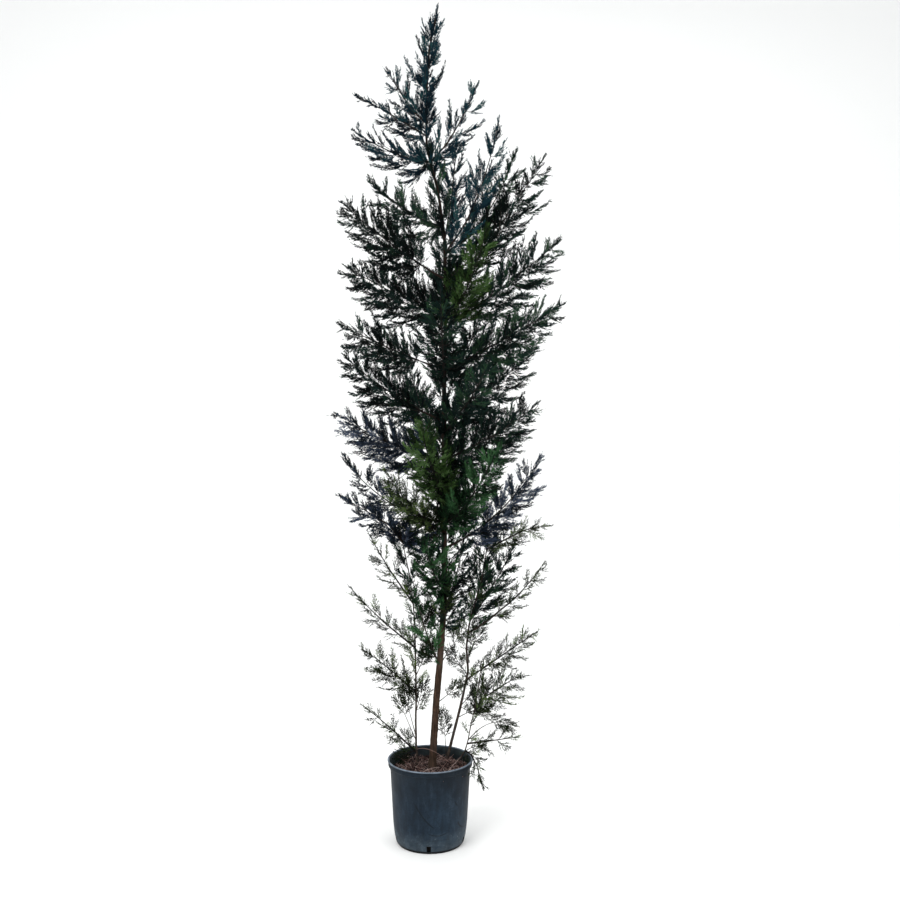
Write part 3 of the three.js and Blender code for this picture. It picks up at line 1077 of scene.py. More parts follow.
class Kind(Enum):
    """The kinds of foliage on the tree."""

    DEEP = Habit(
        "foliage_deep", ("060c0c", "0b1613", "111f1d", "162824", "1e3327", "2b4530"),
        Reach(gap=38.5 * MM), FULL_TWIG, FULL_BLADE,
    )
    BLUE = Habit(
        "foliage_blue", ("11181f", "19232d", "252f3c", "333d4d", "495365"),
        Reach(gap=38.5 * MM), FULL_TWIG, FULL_BLADE,
    )
    BRIGHT = Habit(
        "foliage_bright", ("0f1b0c", "1d2d16", "2c431f", "3e562d", "547043"),
        Reach(gap=35.5 * MM), FULL_TWIG, FULL_BLADE,
    )
    PALE = Habit(
        "foliage_pale", ("0d1408", "161e0f", "232e18", "374727", "53643a"),
        Reach(gap=34.8 * MM, spread=1.1),
        replace(FULL_TWIG, spacing=5.2 * MM, length=40 * MM, angle=0.66, roll=0.5, lift=0.1, tip_share=0.3),
        replace(FULL_BLADE, spacing=3.2 * MM, length=11 * MM, angle=0.55),
        slimness=0.36,
    )
    # The crest's blue-black tints are the foliage's dark green with painted shade: the backlit top of the
    # crown.
    CREST = Habit(
        "foliage_deep", ("061118", "0a1821", "0e222c", "132d37", "19353c", "234346"),
        Reach(gap=38.5 * MM, slant=1.5), replace(FULL_TWIG, angle=0.44, lift=0.45), FULL_BLADE,
        masses=(
            "leader", "crest_left", "crest_left_low", "crest_right", "shoulder_left", "shoulder_mid",
            "shoulder_right",
        ),
        leafy_from=0.15,
    )
    LUSH = Habit(
        "foliage_bright", ("0a1a0f", "162b1a", "213d25", "2e4f30", "3e633e"),
        Reach(gap=35.5 * MM), FULL_TWIG, FULL_BLADE, masses=("front_5", "front_6", "low_mid"),
    )


# How much wider apart than their kind's gap some masses' branches stand: above 1 the mass is airier.
AIRINESS = {
    "leader": 1.25, "crest_left": 1.05, "crest_right": 1.12, "shoulder_left": 1.1, "shoulder_right": 1.12,
    "wing_inner": 1.06, "right_1": 1.12, "right_3": 1.14, "right_7": 1.06, "right_8": 0.95, "left_1": 1.06,
    "left_7": 1.15, "front_left": 0.9, "low_mid": 1.1, "low_left_1": 1.3, "low_left_2": 1.25,
    "low_left_3": 0.98, "low_left_4": 1.08, "low_right_1": 1.2, "low_right_3": 1.08, "low_right_4": 1.4,
    "rim_sprig": 1.15,
}


@dataclass
class Plume:
    """One mass of foliage: its skin in the frame and the leading shoot that runs through it.

    The shoot follows the middles of some cuts across the mass. Where no bough leads to the mass, the
    shoot starts on the limb that comes nearest, low on the part of the mass within a distance of that
    limb.
    """

    node: str
    kind: Kind
    limbs: dict[str, np.ndarray]
    seed: int
    stations: int = 24
    cuts: int = 9
    near: float = 16 * MM
    low_percent: float = 20.0
    tries_a_cell: int = 40
    least_tries: int = 60
    spine: np.ndarray = field(init=False)
    corners: np.ndarray = field(init=False)

    def __post_init__(self) -> None:
        """Reads the mass's skin and finds its leading shoot."""
        points, triangles = merged_mesh(self.node)
        self.corners = points[triangles]
        start = self.root_point(points)
        away = np.linalg.norm(points - start, axis=1)
        tip = points[away.argmax()]
        middles, _ = sections(self.node, start, tip, self.cuts)
        inside = middles[2:-1] if len(middles) > 4 else middles
        self.spine = resampled(np.vstack([start, inside, tip]), self.stations, 3)

    def root_point(self, points: np.ndarray) -> np.ndarray:
        """Where the leading shoot leaves its limb: the bough's end, or low in the mass's inner end.

        Args:
            points: The mass's vertices.

        Returns:
            The point.
        """
        bough = self.limbs.get("bough_" + self.node)
        if bough is not None:
            return bough[-1]
        best = None
        for name, axis in self.limbs.items():
            if name.startswith("bough_"):
                continue
            nearest = np.linalg.norm(points[:, None] - axis[None], axis=2).min(1)
            if best is None or nearest.min() < best[0]:
                close = nearest < nearest.min() + self.near
                level = np.percentile(points[close, 2], self.low_percent)
                best = (nearest.min(), axis[np.abs(axis[:, 2] - level).argmin()])
        return best[1]

    def holds(self, points: np.ndarray) -> np.ndarray:
        """Whether points lie in the mass: an odd number of its triangles stands above each.

        A triangle stands above a point if the point's three area shares of it, seen from above, are all
        of one sign, and the height that they give is more than the point's.

        Args:
            points: The points.

        Returns:
            True for each point inside.
        """
        a, b, c = (self.corners[None, :, k] - points[:, None] for k in range(3))
        shares = [p[..., 0] * q[..., 1] - p[..., 1] * q[..., 0] for p, q in ((b, c), (c, a), (a, b))]
        whole = shares[0] + shares[1] + shares[2]
        height = sum(share * p[..., 2] for share, p in zip(shares, (a, b, c)))
        within = np.all(np.stack(shares) * np.sign(whole) > 0.0, axis=0)
        return (within & (height * np.sign(whole) > 0.0)).sum(1) % 2 == 1

    def volume(self) -> float:
        """The mass's volume: the sum of a . (b x c) / 6 over its triangles a, b, c."""
        a, b, c = (self.corners[:, k] for k in range(3))
        return abs(float((a * np.cross(b, c)).sum())) / 6.0

    def scattered(self, reach: Reach) -> np.ndarray:
        """Random points in the mass that keep their distance, closer together beside its leading shoot.

        Args:
            reach: How the mass is filled.

        Returns:
            The points.
        """
        rng = np.random.default_rng(self.seed)
        gap = min(reach.gap, reach.small * self.volume() ** (1.0 / 3.0)) * AIRINESS.get(self.node, 1.0)
        low, high = self.corners.min((0, 1)), self.corners.max((0, 1))
        count = self.tries_a_cell * int(np.prod(high - low) / gap**3) + self.least_tries
        tries = rng.uniform(low, high, (count, 3))
        tries = tries[self.holds(tries)]
        out = np.linalg.norm(tries[:, None] - self.spine[None], axis=2).min(1)
        gaps = gap * (reach.heart + (reach.edge - reach.heart) * out / out.max())
        kept = np.empty((0, 3))
        for point, own_gap in zip(tries, gaps):
            if len(kept) == 0 or np.linalg.norm(kept - point, axis=1).min() > own_gap:
                kept = np.vstack([kept, point])
        return kept

    def leading_shoot(self, tint: int) -> Shoots:
        """The leading shoot as a set of one, with its branching plane upright along it.

        Args:
            tint: Its tint's number.

        Returns:
            The set.
        """
        chord = unit(self.spine[-1] - self.spine[0])
        level = unit(np.cross(chord, UP) + np.array([1e-3, 0.0, 0.0]))
        return Shoots(self.spine[None], np.cross(level, chord)[None], np.array([tint]))

    def tip_shoot(self, leader: Shoots, habit: Habit) -> Shoots:
        """The outer part of the leading shoot, as a leafy shoot of its own."""
        outer = self.spine[int(habit.leafy_from * self.stations) :]
        return replace(leader, path=resampled(outer, habit.reach.stations, 1)[None])

    def branches(self, leader: Shoots, reach: Reach, rng: np.random.Generator) -> Shoots:
        """Branches from the leading shoot to points scattered through the mass.

        A branch leaves further back than the leading shoot's station nearest its point, so that it slants
        forwards. Its path is (1 - s)^2 * start + 2 * s * (1 - s) * knee + s^2 * tip for s from 0 to 1,
        where the knee lies below and behind the middle, so that the branch sets off outwards and turns
        upwards.

        Args:
            leader: The leading shoot.
            reach: How the mass is filled.
            rng: The random numbers.

        Returns:
            The branches.
        """
        points = self.scattered(reach)
        away = np.linalg.norm(points[:, None] - self.spine[None], axis=2)
        nearest = self.spine[away.argmin(1)]
        points = nearest + reach.spread * (points - nearest)
        steps = away.argmin(1) / (self.stations - 1)
        leave = np.clip(steps - reach.slant * away.min(1) / leader.lengths()[0], *reach.leaving)
        start, ahead = leader.at(np.zeros(len(points), int), leave)
        tip = points + reach.beyond * unit(points - start + ahead * reach.onward)
        span = np.linalg.norm(tip - start, axis=1, keepdims=True)
        sway = rng.normal(0.0, reach.sway, tip.shape)
        knee = 0.5 * (start + tip) + span * (sway - reach.sag * UP - reach.bow * ahead)
        s = np.linspace(0.0, 1.0, reach.stations)[None, :, None]
        path = (1 - s) ** 2 * start[:, None] + 2 * s * (1 - s) * knee[:, None] + s**2 * tip[:, None]
        plane = unit(np.cross(tip - start, rng.normal(0.0, 1.0, tip.shape)))
        return Shoots(path, plane, np.full(len(points), leader.tint[0]))


@dataclass(frozen=True)
class ThinShoot:
    """A thin shoot low on the trunk or a stem, bare at first and leafy towards its end.

    It leaves its host at a height, runs out by its reach along its heading while it rises, and bows
    upwards.
    """

    host: str
    height: float
    heading: float
    reach: float
    rise: float
    bow: float
    bare: float

    def path(self, axis: np.ndarray, stations: int) -> np.ndarray:
        """Its stations: the straight line from host to tip plus bow * 4 * s * (1 - s) upwards.

        Args:
            axis: Its host's centreline.
            stations: How many stations it has.

        Returns:
            The stations.
        """
        start = axis[np.abs(axis[:, 2] - self.height).argmin()]
        turn = math.radians(self.heading)
        along = np.array([self.reach * math.cos(turn), self.reach * math.sin(turn), self.rise])
        s = np.linspace(0.0, 1.0, stations)[:, None]
        return start + along * s + UP * (self.bow * 4.0 * s * (1.0 - s))


@dataclass(frozen=True)
class Stretch:
    """A stretch of a limb between two heights that carries short shoots of one kind all round."""

    host: str
    low: float
    high: float
    kind: Kind
    spacing: float
    length: float


@dataclass
class Undergrowth:
    """What grows on the limbs outside the masses: thin shoots low down, and short ones further up."""

    limbs: dict[str, np.ndarray]
    thin: tuple[ThinShoot, ...] = (
        ThinShoot("trunk", 0.581, 2, 0.075, 0.112, 0.004, 0.62),
        ThinShoot("trunk", 0.457, 350, 0.088, 0.068, 0.003, 0.4),
        ThinShoot("trunk", 0.66, 160, 0.06, 0.10, 0.004, 0.35),
        ThinShoot("trunk", 0.72, 300, 0.05, 0.12, 0.004, 0.3),
        ThinShoot("trunk", 0.60, 215, 0.05, 0.08, 0.004, 0.3),
        ThinShoot("stem_right", 0.252, 200, 0.012, 0.165, 0.0, 0.5),
        ThinShoot("stem_right", 0.55, 185, 0.058, 0.085, 0.0, 0.3),
        ThinShoot("stem_right", 0.60, 5, 0.05, 0.11, 0.0, 0.35),
        ThinShoot("stem_right", 0.43, 350, 0.075, 0.075, 0.003, 0.4),
        ThinShoot("stem_right", 0.40, 10, 0.1, 0.03, 0.006, 0.25),
        ThinShoot("stem_far_right", 0.336, 355, 0.14, 0.055, 0.03, 0.55),
        ThinShoot("stem_far_right", 0.29, 340, 0.06, 0.03, 0.01, 0.4),
        ThinShoot("stem_left", 0.325, 178, 0.062, 0.145, 0.0, 0.6),
        ThinShoot("stem_left", 0.345, 172, 0.04, 0.15, 0.0, 0.6),
        ThinShoot("stem_left", 0.29, 190, 0.04, 0.05, 0.0, 0.7),
        ThinShoot("stem_left", 0.285, 187, 0.05, -0.016, 0.012, 0.1),
        ThinShoot("stem_left", 0.42, 20, 0.03, 0.1, 0.0, 0.3),
        ThinShoot("stem_left", 0.55, 8, 0.045, 0.1, 0.0, 0.25),
        ThinShoot("stem_left", 0.68, 12, 0.05, 0.12, 0.0, 0.2),
    )
    stretches: tuple[Stretch, ...] = (
        Stretch("trunk", 0.9, 2.3, Kind.DEEP, 15 * MM, 115 * MM),
        Stretch("trunk", 0.88, 1.25, Kind.LUSH, 19 * MM, 110 * MM),
        Stretch("trunk", 2.2, 2.72, Kind.CREST, 11 * MM, 62 * MM),
        Stretch("trunk", 0.9, 1.25, Kind.DEEP, 17 * MM, 130 * MM),
        Stretch("stem_left", 0.8, 1.02, Kind.DEEP, 17 * MM, 110 * MM),
        Stretch("stem_right", 0.8, 1.04, Kind.DEEP, 14 * MM, 120 * MM),
        Stretch("stem_right", 0.68, 0.94, Kind.LUSH, 20 * MM, 115 * MM),
        Stretch("trunk", 0.66, 0.95, Kind.PALE, 17 * MM, 100 * MM),
        Stretch("stem_left", 0.42, 0.85, Kind.PALE, 19 * MM, 90 * MM),
        Stretch("stem_right", 0.45, 0.85, Kind.PALE, 19 * MM, 95 * MM),
        Stretch("stem_far_right", 0.32, 0.58, Kind.PALE, 22 * MM, 80 * MM),
    )
    thin_stations: int = 12
    host_stations: int = 40
    inner: Branching = Branching(
        spacing=17 * MM, length=115 * MM, angle=0.85, whorled=True, roll=0.3, forward=0.4, lift=0.5,
        shortest=0.45, root_share=1.0, tip_share=0.8, stations=8,
    )
    sparse: Branching = Branching(
        spacing=7.0 * MM, length=50 * MM, angle=0.8, roll=0.6, forward=0.5, lift=0.1, root_share=0.8,
        tip_share=0.6, stations=8,
    )

    def thin_shoots(self) -> Shoots:
        """The thin shoots as one set.

        Returns:
            The set.
        """
        paths = np.array([t.path(self.limbs[t.host], self.thin_stations) for t in self.thin])
        turn = np.array([math.radians(t.heading) for t in self.thin])
        planes = np.stack([np.sin(turn), -np.cos(turn), np.full(len(turn), 0.3)], axis=1)
        return Shoots(paths, unit(planes), np.zeros(len(self.thin), int))

    def thin_branches(self, rng: np.random.Generator) -> Shoots:
        """Short leafy branches on the outer part of each thin shoot.

        Args:
            rng: The random numbers.

        Returns:
            The branches.
        """
        shoots = self.thin_shoots()
        grown = []
        for number, thin in enumerate(self.thin):
            own = shoots.kept(np.arange(len(self.thin)) == number)
            grown.append(replace(self.sparse, bare=thin.bare).children(own, rng))
        return Shoots.joined(grown)

    def inner_branches(self, kind: Kind, rng: np.random.Generator) -> list[Shoots]:
        """Short shoots of one kind all round the trunk and the stems.

        Args:
            kind: Which kind of foliage.
            rng: The random numbers.

        Returns:
            The shoots of each stretch.
        """
        grown = []
        for stretch in self.stretches:
            if stretch.kind is not kind:
                continue
            axis = self.limbs[stretch.host]
            axis = axis[(axis[:, 2] > stretch.low) & (axis[:, 2] < stretch.high)]
            path = resampled(axis, self.host_stations)[None]
            host = Shoots(path, np.array([[1.0, 0.0, 0.0]]), np.array([2]))
            rule = replace(self.inner, spacing=stretch.spacing, length=stretch.length)
            grown.append(rule.children(host, rng))
        return grown


@dataclass
class Crown:
    """All the foliage: leading shoots, branches, twigs and blades, joined by kind.

    The wood of each order of shoots has a radius at its root, one at its tip and a number of sides.
    """

    plumes: list[Plume]
    undergrowth: Undergrowth
    seed: int = 7
    leader_wood: tuple[float, float, int] = (3.4 * MM, 0.9 * MM, 7)
    branch_wood: tuple[float, float, int] = (1.2 * MM, 0.5 * MM, 3)
    thin_wood: tuple[float, float, int] = (1.7 * MM, 0.7 * MM, 5)
    twig_radius: float = 0.8 * MM
    wood_tints: tuple[str, ...] = ("120f0d", "1b1714", "29221e")

    def grow(self, kind: Kind, wood: list[bpy.types.Material]) -> None:
        """Grows the foliage of one kind and adds its pieces.

        Args:
            kind: Which kind of foliage.
            wood: The finishes of the woody shoots.
        """
        rng = np.random.default_rng(self.seed + list(Kind).index(kind))
        habit = kind.value
        tints = len(habit.tints)
        own = [p for p in self.plumes if p.kind is kind]
        leaders = [p.leading_shoot(int(rng.integers(1, tints - 2))) for p in own]
        reaches = [habit.steepened(float(p.spine[:, 2].mean())) for p in own]
        branches = [p.branches(leader, reach, rng) for p, leader, reach in zip(own, leaders, reaches)]
        branches += self.undergrowth.inner_branches(kind, rng)
        if kind is Kind.PALE:
            branches.append(self.undergrowth.thin_branches(rng))
        branch = Shoots.joined(branches).dealt(rng, tints, 2)
        outer = [p.tip_shoot(leader, habit) for p, leader in zip(own, leaders)]
        leafy = Shoots.joined([branch] + outer)
        twig = habit.twig.children(leafy, rng).dealt(rng, tints, 1)
        tips = replace(habit.blade, leafy=0.5 * habit.twig.leafy).children(leafy, rng)
        blade = Shoots.joined([habit.blade.children(twig, rng), tips])
        name = kind.name.lower()
        finishes = palette(name, habit.tints)
        counts = (len(leafy.path), len(twig.path), len(blade.path))
        log.info("%s: %d branches, %d twigs, %d blades", kind.name, *counts)
        woody = [(Shoots.joined(leaders), *self.leader_wood), (branch, *self.branch_wood)]
        if kind is Kind.PALE:
            woody.append((self.undergrowth.thin_shoots(), *self.thin_wood))
        self.add_wood(f"branches_{name}", woody, rng, wood)
        spindled = partial(spindles, radius=self.twig_radius)
        bladed = partial(blades, slimness=habit.slimness)
        masses = tuple(p.node for p in own)
        self.add_split(f"twigs_{name}", twig, spindled, 6, finishes, habit.slot, masses)
        self.add_split(f"blades_{name}", blade, bladed, 2, finishes, habit.slot)

    @staticmethod
    def add_wood(
        name: str,
        woody: list[tuple[Shoots, float, float, int]],
        rng: np.random.Generator,
        wood: list[bpy.types.Material],
    ) -> None:
        """Adds leading shoots and branches as thin tapering tubes.

        Args:
            name: The piece's name.
            woody: Sets of shoots, each with its radius at root and tip and its number of sides.
            rng: The random numbers.
            wood: The finishes, dealt out by shoot.
        """
        sets = []
        for shoots, root, tip, sides in woody:
            tint = rng.integers(0, len(wood), len(shoots.path))
            sets.append(tubes(shoots.path, tapering(shoots, root, tip), shoots.plane, sides, tint))
        add_piece(name, Surface.joined(sets), wood)

    @staticmethod
    def add_split(
        name: str,
        shoots: Shoots,
        shape: Callable[[Shoots], Surface],
        triangles: int,
        finishes: list[bpy.types.Material],
        slot: str,
        masses: tuple[str, ...] = (),
    ) -> None:
        """Adds shoots as pieces that each stay under the most triangles that a piece may have.

        Args:
            name: The pieces' name, before a number.
            shoots: The shoots.
            shape: The function that makes their surface.
            triangles: Triangles of one shoot.
            finishes: The materials, one for each tint.
            slot: The record's material slot of this foliage; not used.
            masses: The frame's nodes that the first piece replaces.
        """
        most = MOST_TRIANGLES // triangles
        piece = np.arange(len(shoots.path)) // most
        for number in range(piece[-1] + 1):
            surface = shape(shoots.kept(piece == number))
            stands_for = masses if number == 0 else ()
            add_piece(f"{name}_{number + 1}", surface, finishes, False, stands_for)


# ---- Trunk, stems and boughs --------------------------------------------------------------------------


@dataclass
class Limb:
    """A limb of the frame, given a barked skin along its own centreline.

    A bough's two ends are the middles of the end_percent of its points that lie nearest to the trunk and
    furthest from it. For each number in strips the bark has that many ridges round the limb, and it has a
    knot for each knot_gap of length. A limb that rises by more than upright_from counts as upright.
    """

    node: str
    sides: int
    ring_gap: float
    relief: float
    seed: int
    cuts: int = 60
    end_percent: float = 12.0
    trunk_place: tuple[float, float] = (0.045, 0.0)
    strips: tuple[int, ...] = (3, 5, 8, 11)
    knot_gap: float = 0.05
    knot_size: float = 0.006
    knot_focus: float = 4.0
    upright_from: float = 0.3
    axis: np.ndarray = field(init=False)
    radii: np.ndarray = field(init=False)

    def __post_init__(self) -> None:
        """Reads the limb's centreline and radii from its node."""
        points, _ = merged_mesh(self.node)
        if self.node.startswith("bough_"):
            out = np.hypot(*(points[:, :2] - np.array(self.trunk_place)).T)
            start = points[out < np.percentile(out, self.end_percent)].mean(0)
            end = points[out > np.percentile(out, 100.0 - self.end_percent)].mean(0)
        else:
            low, high = points[:, 2].min(), points[:, 2].max()
            start = np.array([0.0, 0.0, low + 0.2 * MM])
            end = np.array([0.0, 0.0, high - 0.2 * MM])
        self.axis, self.radii = sections(self.node, start, end, self.cuts)

    @classmethod
    def trunk(cls, node: str, seed: int) -> "Limb":
        """The trunk: fine sections with deep bark."""
        return cls(node, 28, 4.5 * MM, 1.1 * MM, seed)

    @classmethod
    def stem(cls, node: str, seed: int) -> "Limb":
        """A stem beside the trunk."""
        return cls(node, 12, 5 * MM, 0.5 * MM, seed)

    @classmethod
    def bough(cls, node: str, seed: int) -> "Limb":
        """A bough to a mass."""
        return cls(node, 10, 5 * MM, 0.4 * MM, seed)

    def skin(self) -> Surface:
        """The barked skin: the node's own radius, raised and cut by long wandering strips.

        The relief is the mean of 1 - 2 * |sin(k * angle / 2 + wander(run))| over the numbers k in strips,
        plus a little noise, plus for each knot a height times exp(-((run - place) / knot_size)^2) *
        exp(knot_focus * (cos(angle - turn) - 1)).

        Returns:
            The surface.
        """
        rng = np.random.default_rng(self.seed)
        length = np.linalg.norm(np.diff(self.axis, axis=0), axis=1).sum()
        rings = max(12, int(length / self.ring_gap))
        axis = resampled(self.axis, rings, 1)
        share = np.linspace(0.0, 1.0, rings)
        radius = np.interp(share, np.linspace(0.0, 1.0, len(self.radii)), self.radii)
        angle = np.arange(self.sides) * (2.0 * math.pi / self.sides)
        run = share[:, None] * length
        bark = np.zeros((rings, self.sides))
        for k in self.strips:
            wander = rng.uniform(0.5, 1.1) * np.sin(run * rng.uniform(40, 130) + rng.uniform(0, 6))
            strip = np.abs(np.sin(0.5 * k * angle[None] + wander + rng.uniform(0, 6)))
            bark += (1.0 - 2.0 * strip) / len(self.strips)
        bark += 0.5 * rng.normal(0.0, 0.3, bark.shape)
        for _ in range(int(length / self.knot_gap)):
            where = np.exp(-(((run - rng.uniform(0, length)) / self.knot_size) ** 2))
            turn = np.cos(angle[None] - rng.uniform(0, 2 * math.pi))
            bark += where * np.exp(self.knot_focus * (turn - 1.0)) * rng.uniform(1.0, 2.4)
        depth = self.relief * np.minimum(radius / radius.max(), 1.0)[:, None]
        grown = (radius[:, None] + depth * bark)[None]
        upright = abs(self.axis[-1, 2] - self.axis[0, 2]) > self.upright_from
        normal = np.array([[0.0, -1.0, 0.0]]) if upright else UP[None]
        return tubes(axis[None], grown, normal, self.sides, np.zeros(1, int))


# ---- The pot and what is in it ------------------------------------------------------------------------


@dataclass
class Pot:
    """The thin-walled moulded pot: rolled lip, drafted wall, drawn-in foot and drain slots.

    Under_lip and lip_edge are steps of the lip's profile: millimetres in from the rim, and up from the
    lip's lower edge or down from its top. The lining starts lining_from steps past the highest one.
    """

    rim: float = 144.5 * MM
    height: float = 280 * MM
    lip: float = 21 * MM
    overhang: float = 9 * MM
    wall: float = 2.6 * MM
    draft: float = 0.056
    curve: float = 80 * MM
    foot: float = 113 * MM
    belly: float = 0.5
    ring: float = 5 * MM
    slots: int = 5
    slot_top: float = 28 * MM
    slot_bottom: float = 6 * MM
    slot_heading: float = 268.0
    slot_cells: int = 3
    columns: int = 160
    under_lip: tuple[tuple[float, float], ...] = ((9.0, -1.0), (6.0, 0.0), (3.0, 1.0), (2.6, 2.5))
    lip_edge: tuple[tuple[float, float], ...] = ((2.6, 9.0), (3.2, 8.0), (2.8, 7.0))
    roll_radius: float = 3.3 * MM
    roll_depth: float = 3.4 * MM
    floor: float = 4 * MM
    floor_in: float = 8 * MM
    ring_in: float = 3 * MM
    lining_from: int = 4

    def wall_radius(self, z: np.ndarray) -> np.ndarray:
        """The wall's outer radius: a straight draft that draws in towards the foot.

        Above the curve it is rim - overhang - draft * (height - lip - z). Below, it is
        foot + (its value at the curve - foot) * ((z - ring) / (curve - ring))^belly.

        Args:
            z: Heights.

        Returns:
            The radius at each.
        """
        under_lip = self.height - self.lip
        drafted = self.rim - self.overhang - self.draft * (under_lip - np.maximum(z, self.curve))
        share = np.clip((z - self.ring) / (self.curve - self.ring), 0.0, 1.0)
        return np.where(z >= self.curve, drafted, self.foot + (drafted - self.foot) * share**self.belly)

    def profile(self) -> tuple[np.ndarray, int, int]:
        """The closed profile from the middle of the underside, up outside, over the lip and down inside.

        Returns:
            Radius and height of each step, and the numbers of the outer and the inner step at the slots'
            bottom.
        """
        top, under = self.height, self.height - self.lip
        outer = np.linspace(36 * MM, under - 3 * MM, 26)
        outer = np.concatenate([[self.ring, self.slot_bottom, self.slot_top], outer])
        inner = np.linspace(top - 7 * MM, 36 * MM, 20)
        inner = np.concatenate([inner, [self.slot_top, self.slot_bottom + 2 * MM]])
        bead = [(self.rim - inset * MM, under + rise * MM) for inset, rise in self.under_lip]
        bead += [(self.rim - inset * MM, top - drop * MM) for inset, drop in self.lip_edge]
        turn = np.linspace(-0.42 * math.pi, math.pi, 12)
        across = self.rim - self.roll_radius + self.roll_radius * np.cos(turn)
        roll = list(zip(across, top - self.roll_depth + self.roll_depth * np.sin(turn)))
        step_in = self.foot - self.ring_in
        steps = [(0.0, 0.0), (step_in, 0.0), (step_in, self.ring - 1 * MM)]
        outer_slot = len(steps) + 1
        steps += list(zip(self.wall_radius(outer), outer)) + bead + roll
        steps += list(zip(self.wall_radius(inner) - self.wall, inner))
        inner_slot = len(steps) - 1
        steps += [(self.foot - self.floor_in, self.floor), (0.0, self.floor)]
        return np.array(steps), outer_slot, inner_slot

    def inner_step(self, steps: np.ndarray) -> int:
        """The number of the first profile step inside the pot, where the roll has turned down."""
        return int(steps[:, 1].argmax()) + self.lining_from

    def surface(self) -> Surface:
        """The whole pot, with the slots cut through its wall and closed by their own four sides.

        Returns:
            The surface.
        """
        steps, outer_slot, inner_slot = self.profile()
        rows, columns = len(steps), self.columns
        angle = np.linspace(0.0, 2 * math.pi, columns, endpoint=False)
        warp = 0.5 * MM * np.sin(3 * angle + 0.6) + 0.3 * MM * np.sin(5 * angle + 2.0)
        warp = np.where(steps[:, :1] > 0.0, warp[None], 0.0)
        radii = steps[:, :1] + warp * np.clip(steps[:, 1:] / self.height, 0, 1)
        points = turned(radii, np.broadcast_to(steps[:, 1:], radii.shape))
        quads = grid_faces(rows, columns, True).reshape(rows - 1, columns, 4)
        bottom, top = poled(quads[0], 0, columns), poled(quads[-1], (rows - 1) * columns, columns)
        keep = np.ones((rows - 1, columns), bool)
        keep[[0, -1]] = False
        lining = np.zeros((rows - 1, columns), int)
        lining[self.inner_step(steps) :] = 1
        walls = []
        for i in range(self.slots):
            heading = math.radians(self.slot_heading + 360.0 / self.slots * i)
            first = round(heading / (2 * math.pi) * columns - self.slot_cells / 2)
            cells = np.arange(first, first + self.slot_cells) % columns
            edges = np.arange(first, first + self.slot_cells + 1) % columns
            keep[outer_slot, cells] = False
            keep[inner_slot - 1, cells] = False
            ob, ot = outer_slot * columns + edges, (outer_slot + 1) * columns + edges
            it, ib = (inner_slot - 1) * columns + edges, inner_slot * columns + edges
            walls += [
                np.stack([ob[:-1], ob[1:], ib[1:], ib[:-1]], axis=1),
                np.stack([ot[1:], ot[:-1], it[:-1], it[1:]], axis=1),
                np.array([[ob[0], ib[0], it[0], ot[0]], [ob[-1], ot[-1], it[-1], ib[-1]]]),
            ]
        walls = np.concatenate(walls)
        faces = [quads[keep], walls, bottom, top]
        tints = [lining[keep], np.ones(len(walls), int), np.zeros(columns, int), np.ones(columns, int)]
        return Surface(points, faces, tints)


@dataclass
class RootBall:
    """The compost in the pot, with an uneven top.

    Swells are the sizes of the waves in its top, in metres, and their depths, in millimetres.
    """

    top: float
    radius: float
    columns: int = 144
    rings: int = 44
    seed: int = 3
    swells: tuple[tuple[float, float], ...] = (
        (0.09, 2.5), (0.05, 1.6), (0.024, 1.2), (0.013, 0.8), (0.007, 0.5),
    )
    side_heights: tuple[float, ...] = (0.2, 0.12, 0.05, 0.012)
    inside_wall: float = 3.4 * MM

    def level(self, x: np.ndarray, y: np.ndarray) -> np.ndarray:
        """The height of the compost's top: swells and lumps, from three sine waves of each size.

        Args:
            x: The places' X.
            y: The places' Y.

        Returns:
            The height at each place.
        """
        rng = np.random.default_rng(self.seed)
        z = np.full(np.shape(x), self.top - 3 * MM)
        for size, depth in self.swells:
            for _ in range(3):
                way = rng.uniform(0, 2 * math.pi)
                wave = (x * math.cos(way) + y * math.sin(way)) * (2 * math.pi / size)
                z = z + depth * MM * 0.6 * np.sin(wave + rng.uniform(0, 6))
        return z

    def surface(self, wall_radius: Callable[[np.ndarray], np.ndarray]) -> Surface:
        """The whole body: top, side against the pot's wall, and bottom.

        Args:
            wall_radius: The pot's outer radius as a function of the height.

        Returns:
            The surface.
        """
        share = np.linspace(0.0, 1.0, self.rings)
        angle = np.linspace(0.0, 2 * math.pi, self.columns, endpoint=False)
        radius = np.broadcast_to((self.radius * share)[:, None], (self.rings, self.columns))
        heights = self.level(radius * np.cos(angle), radius * np.sin(angle))
        heights[0] = heights[0].mean()
        sides = np.array(self.side_heights)
        side_radius = np.repeat((wall_radius(sides) - self.inside_wall)[:, None], self.columns, 1)
        radii = np.concatenate([radius, side_radius, np.zeros((1, self.columns))])
        low = np.repeat(np.append(sides, sides[-1])[:, None], self.columns, 1)
        points = turned(radii, np.concatenate([heights, low]))
        quads = grid_faces(len(radii), self.columns, True)[:, ::-1]
        last = (len(radii) - 1) * self.columns
        middle = quads[self.columns : -self.columns]
        top = poled(quads[: self.columns], 0, self.columns)
        bottom = poled(quads[-self.columns :], last, self.columns)
        faces = [middle, top, bottom]
        # The side against the wall and the bottom take the second finish: near-black painted shade, seen
        # through the drain slots.
        shaded_side = np.arange(len(middle)) // self.columns >= self.rings - 2
        tints = [shaded_side.astype(int), np.zeros(self.columns, int), np.ones(self.columns, int)]
        return Surface(points, faces, tints)


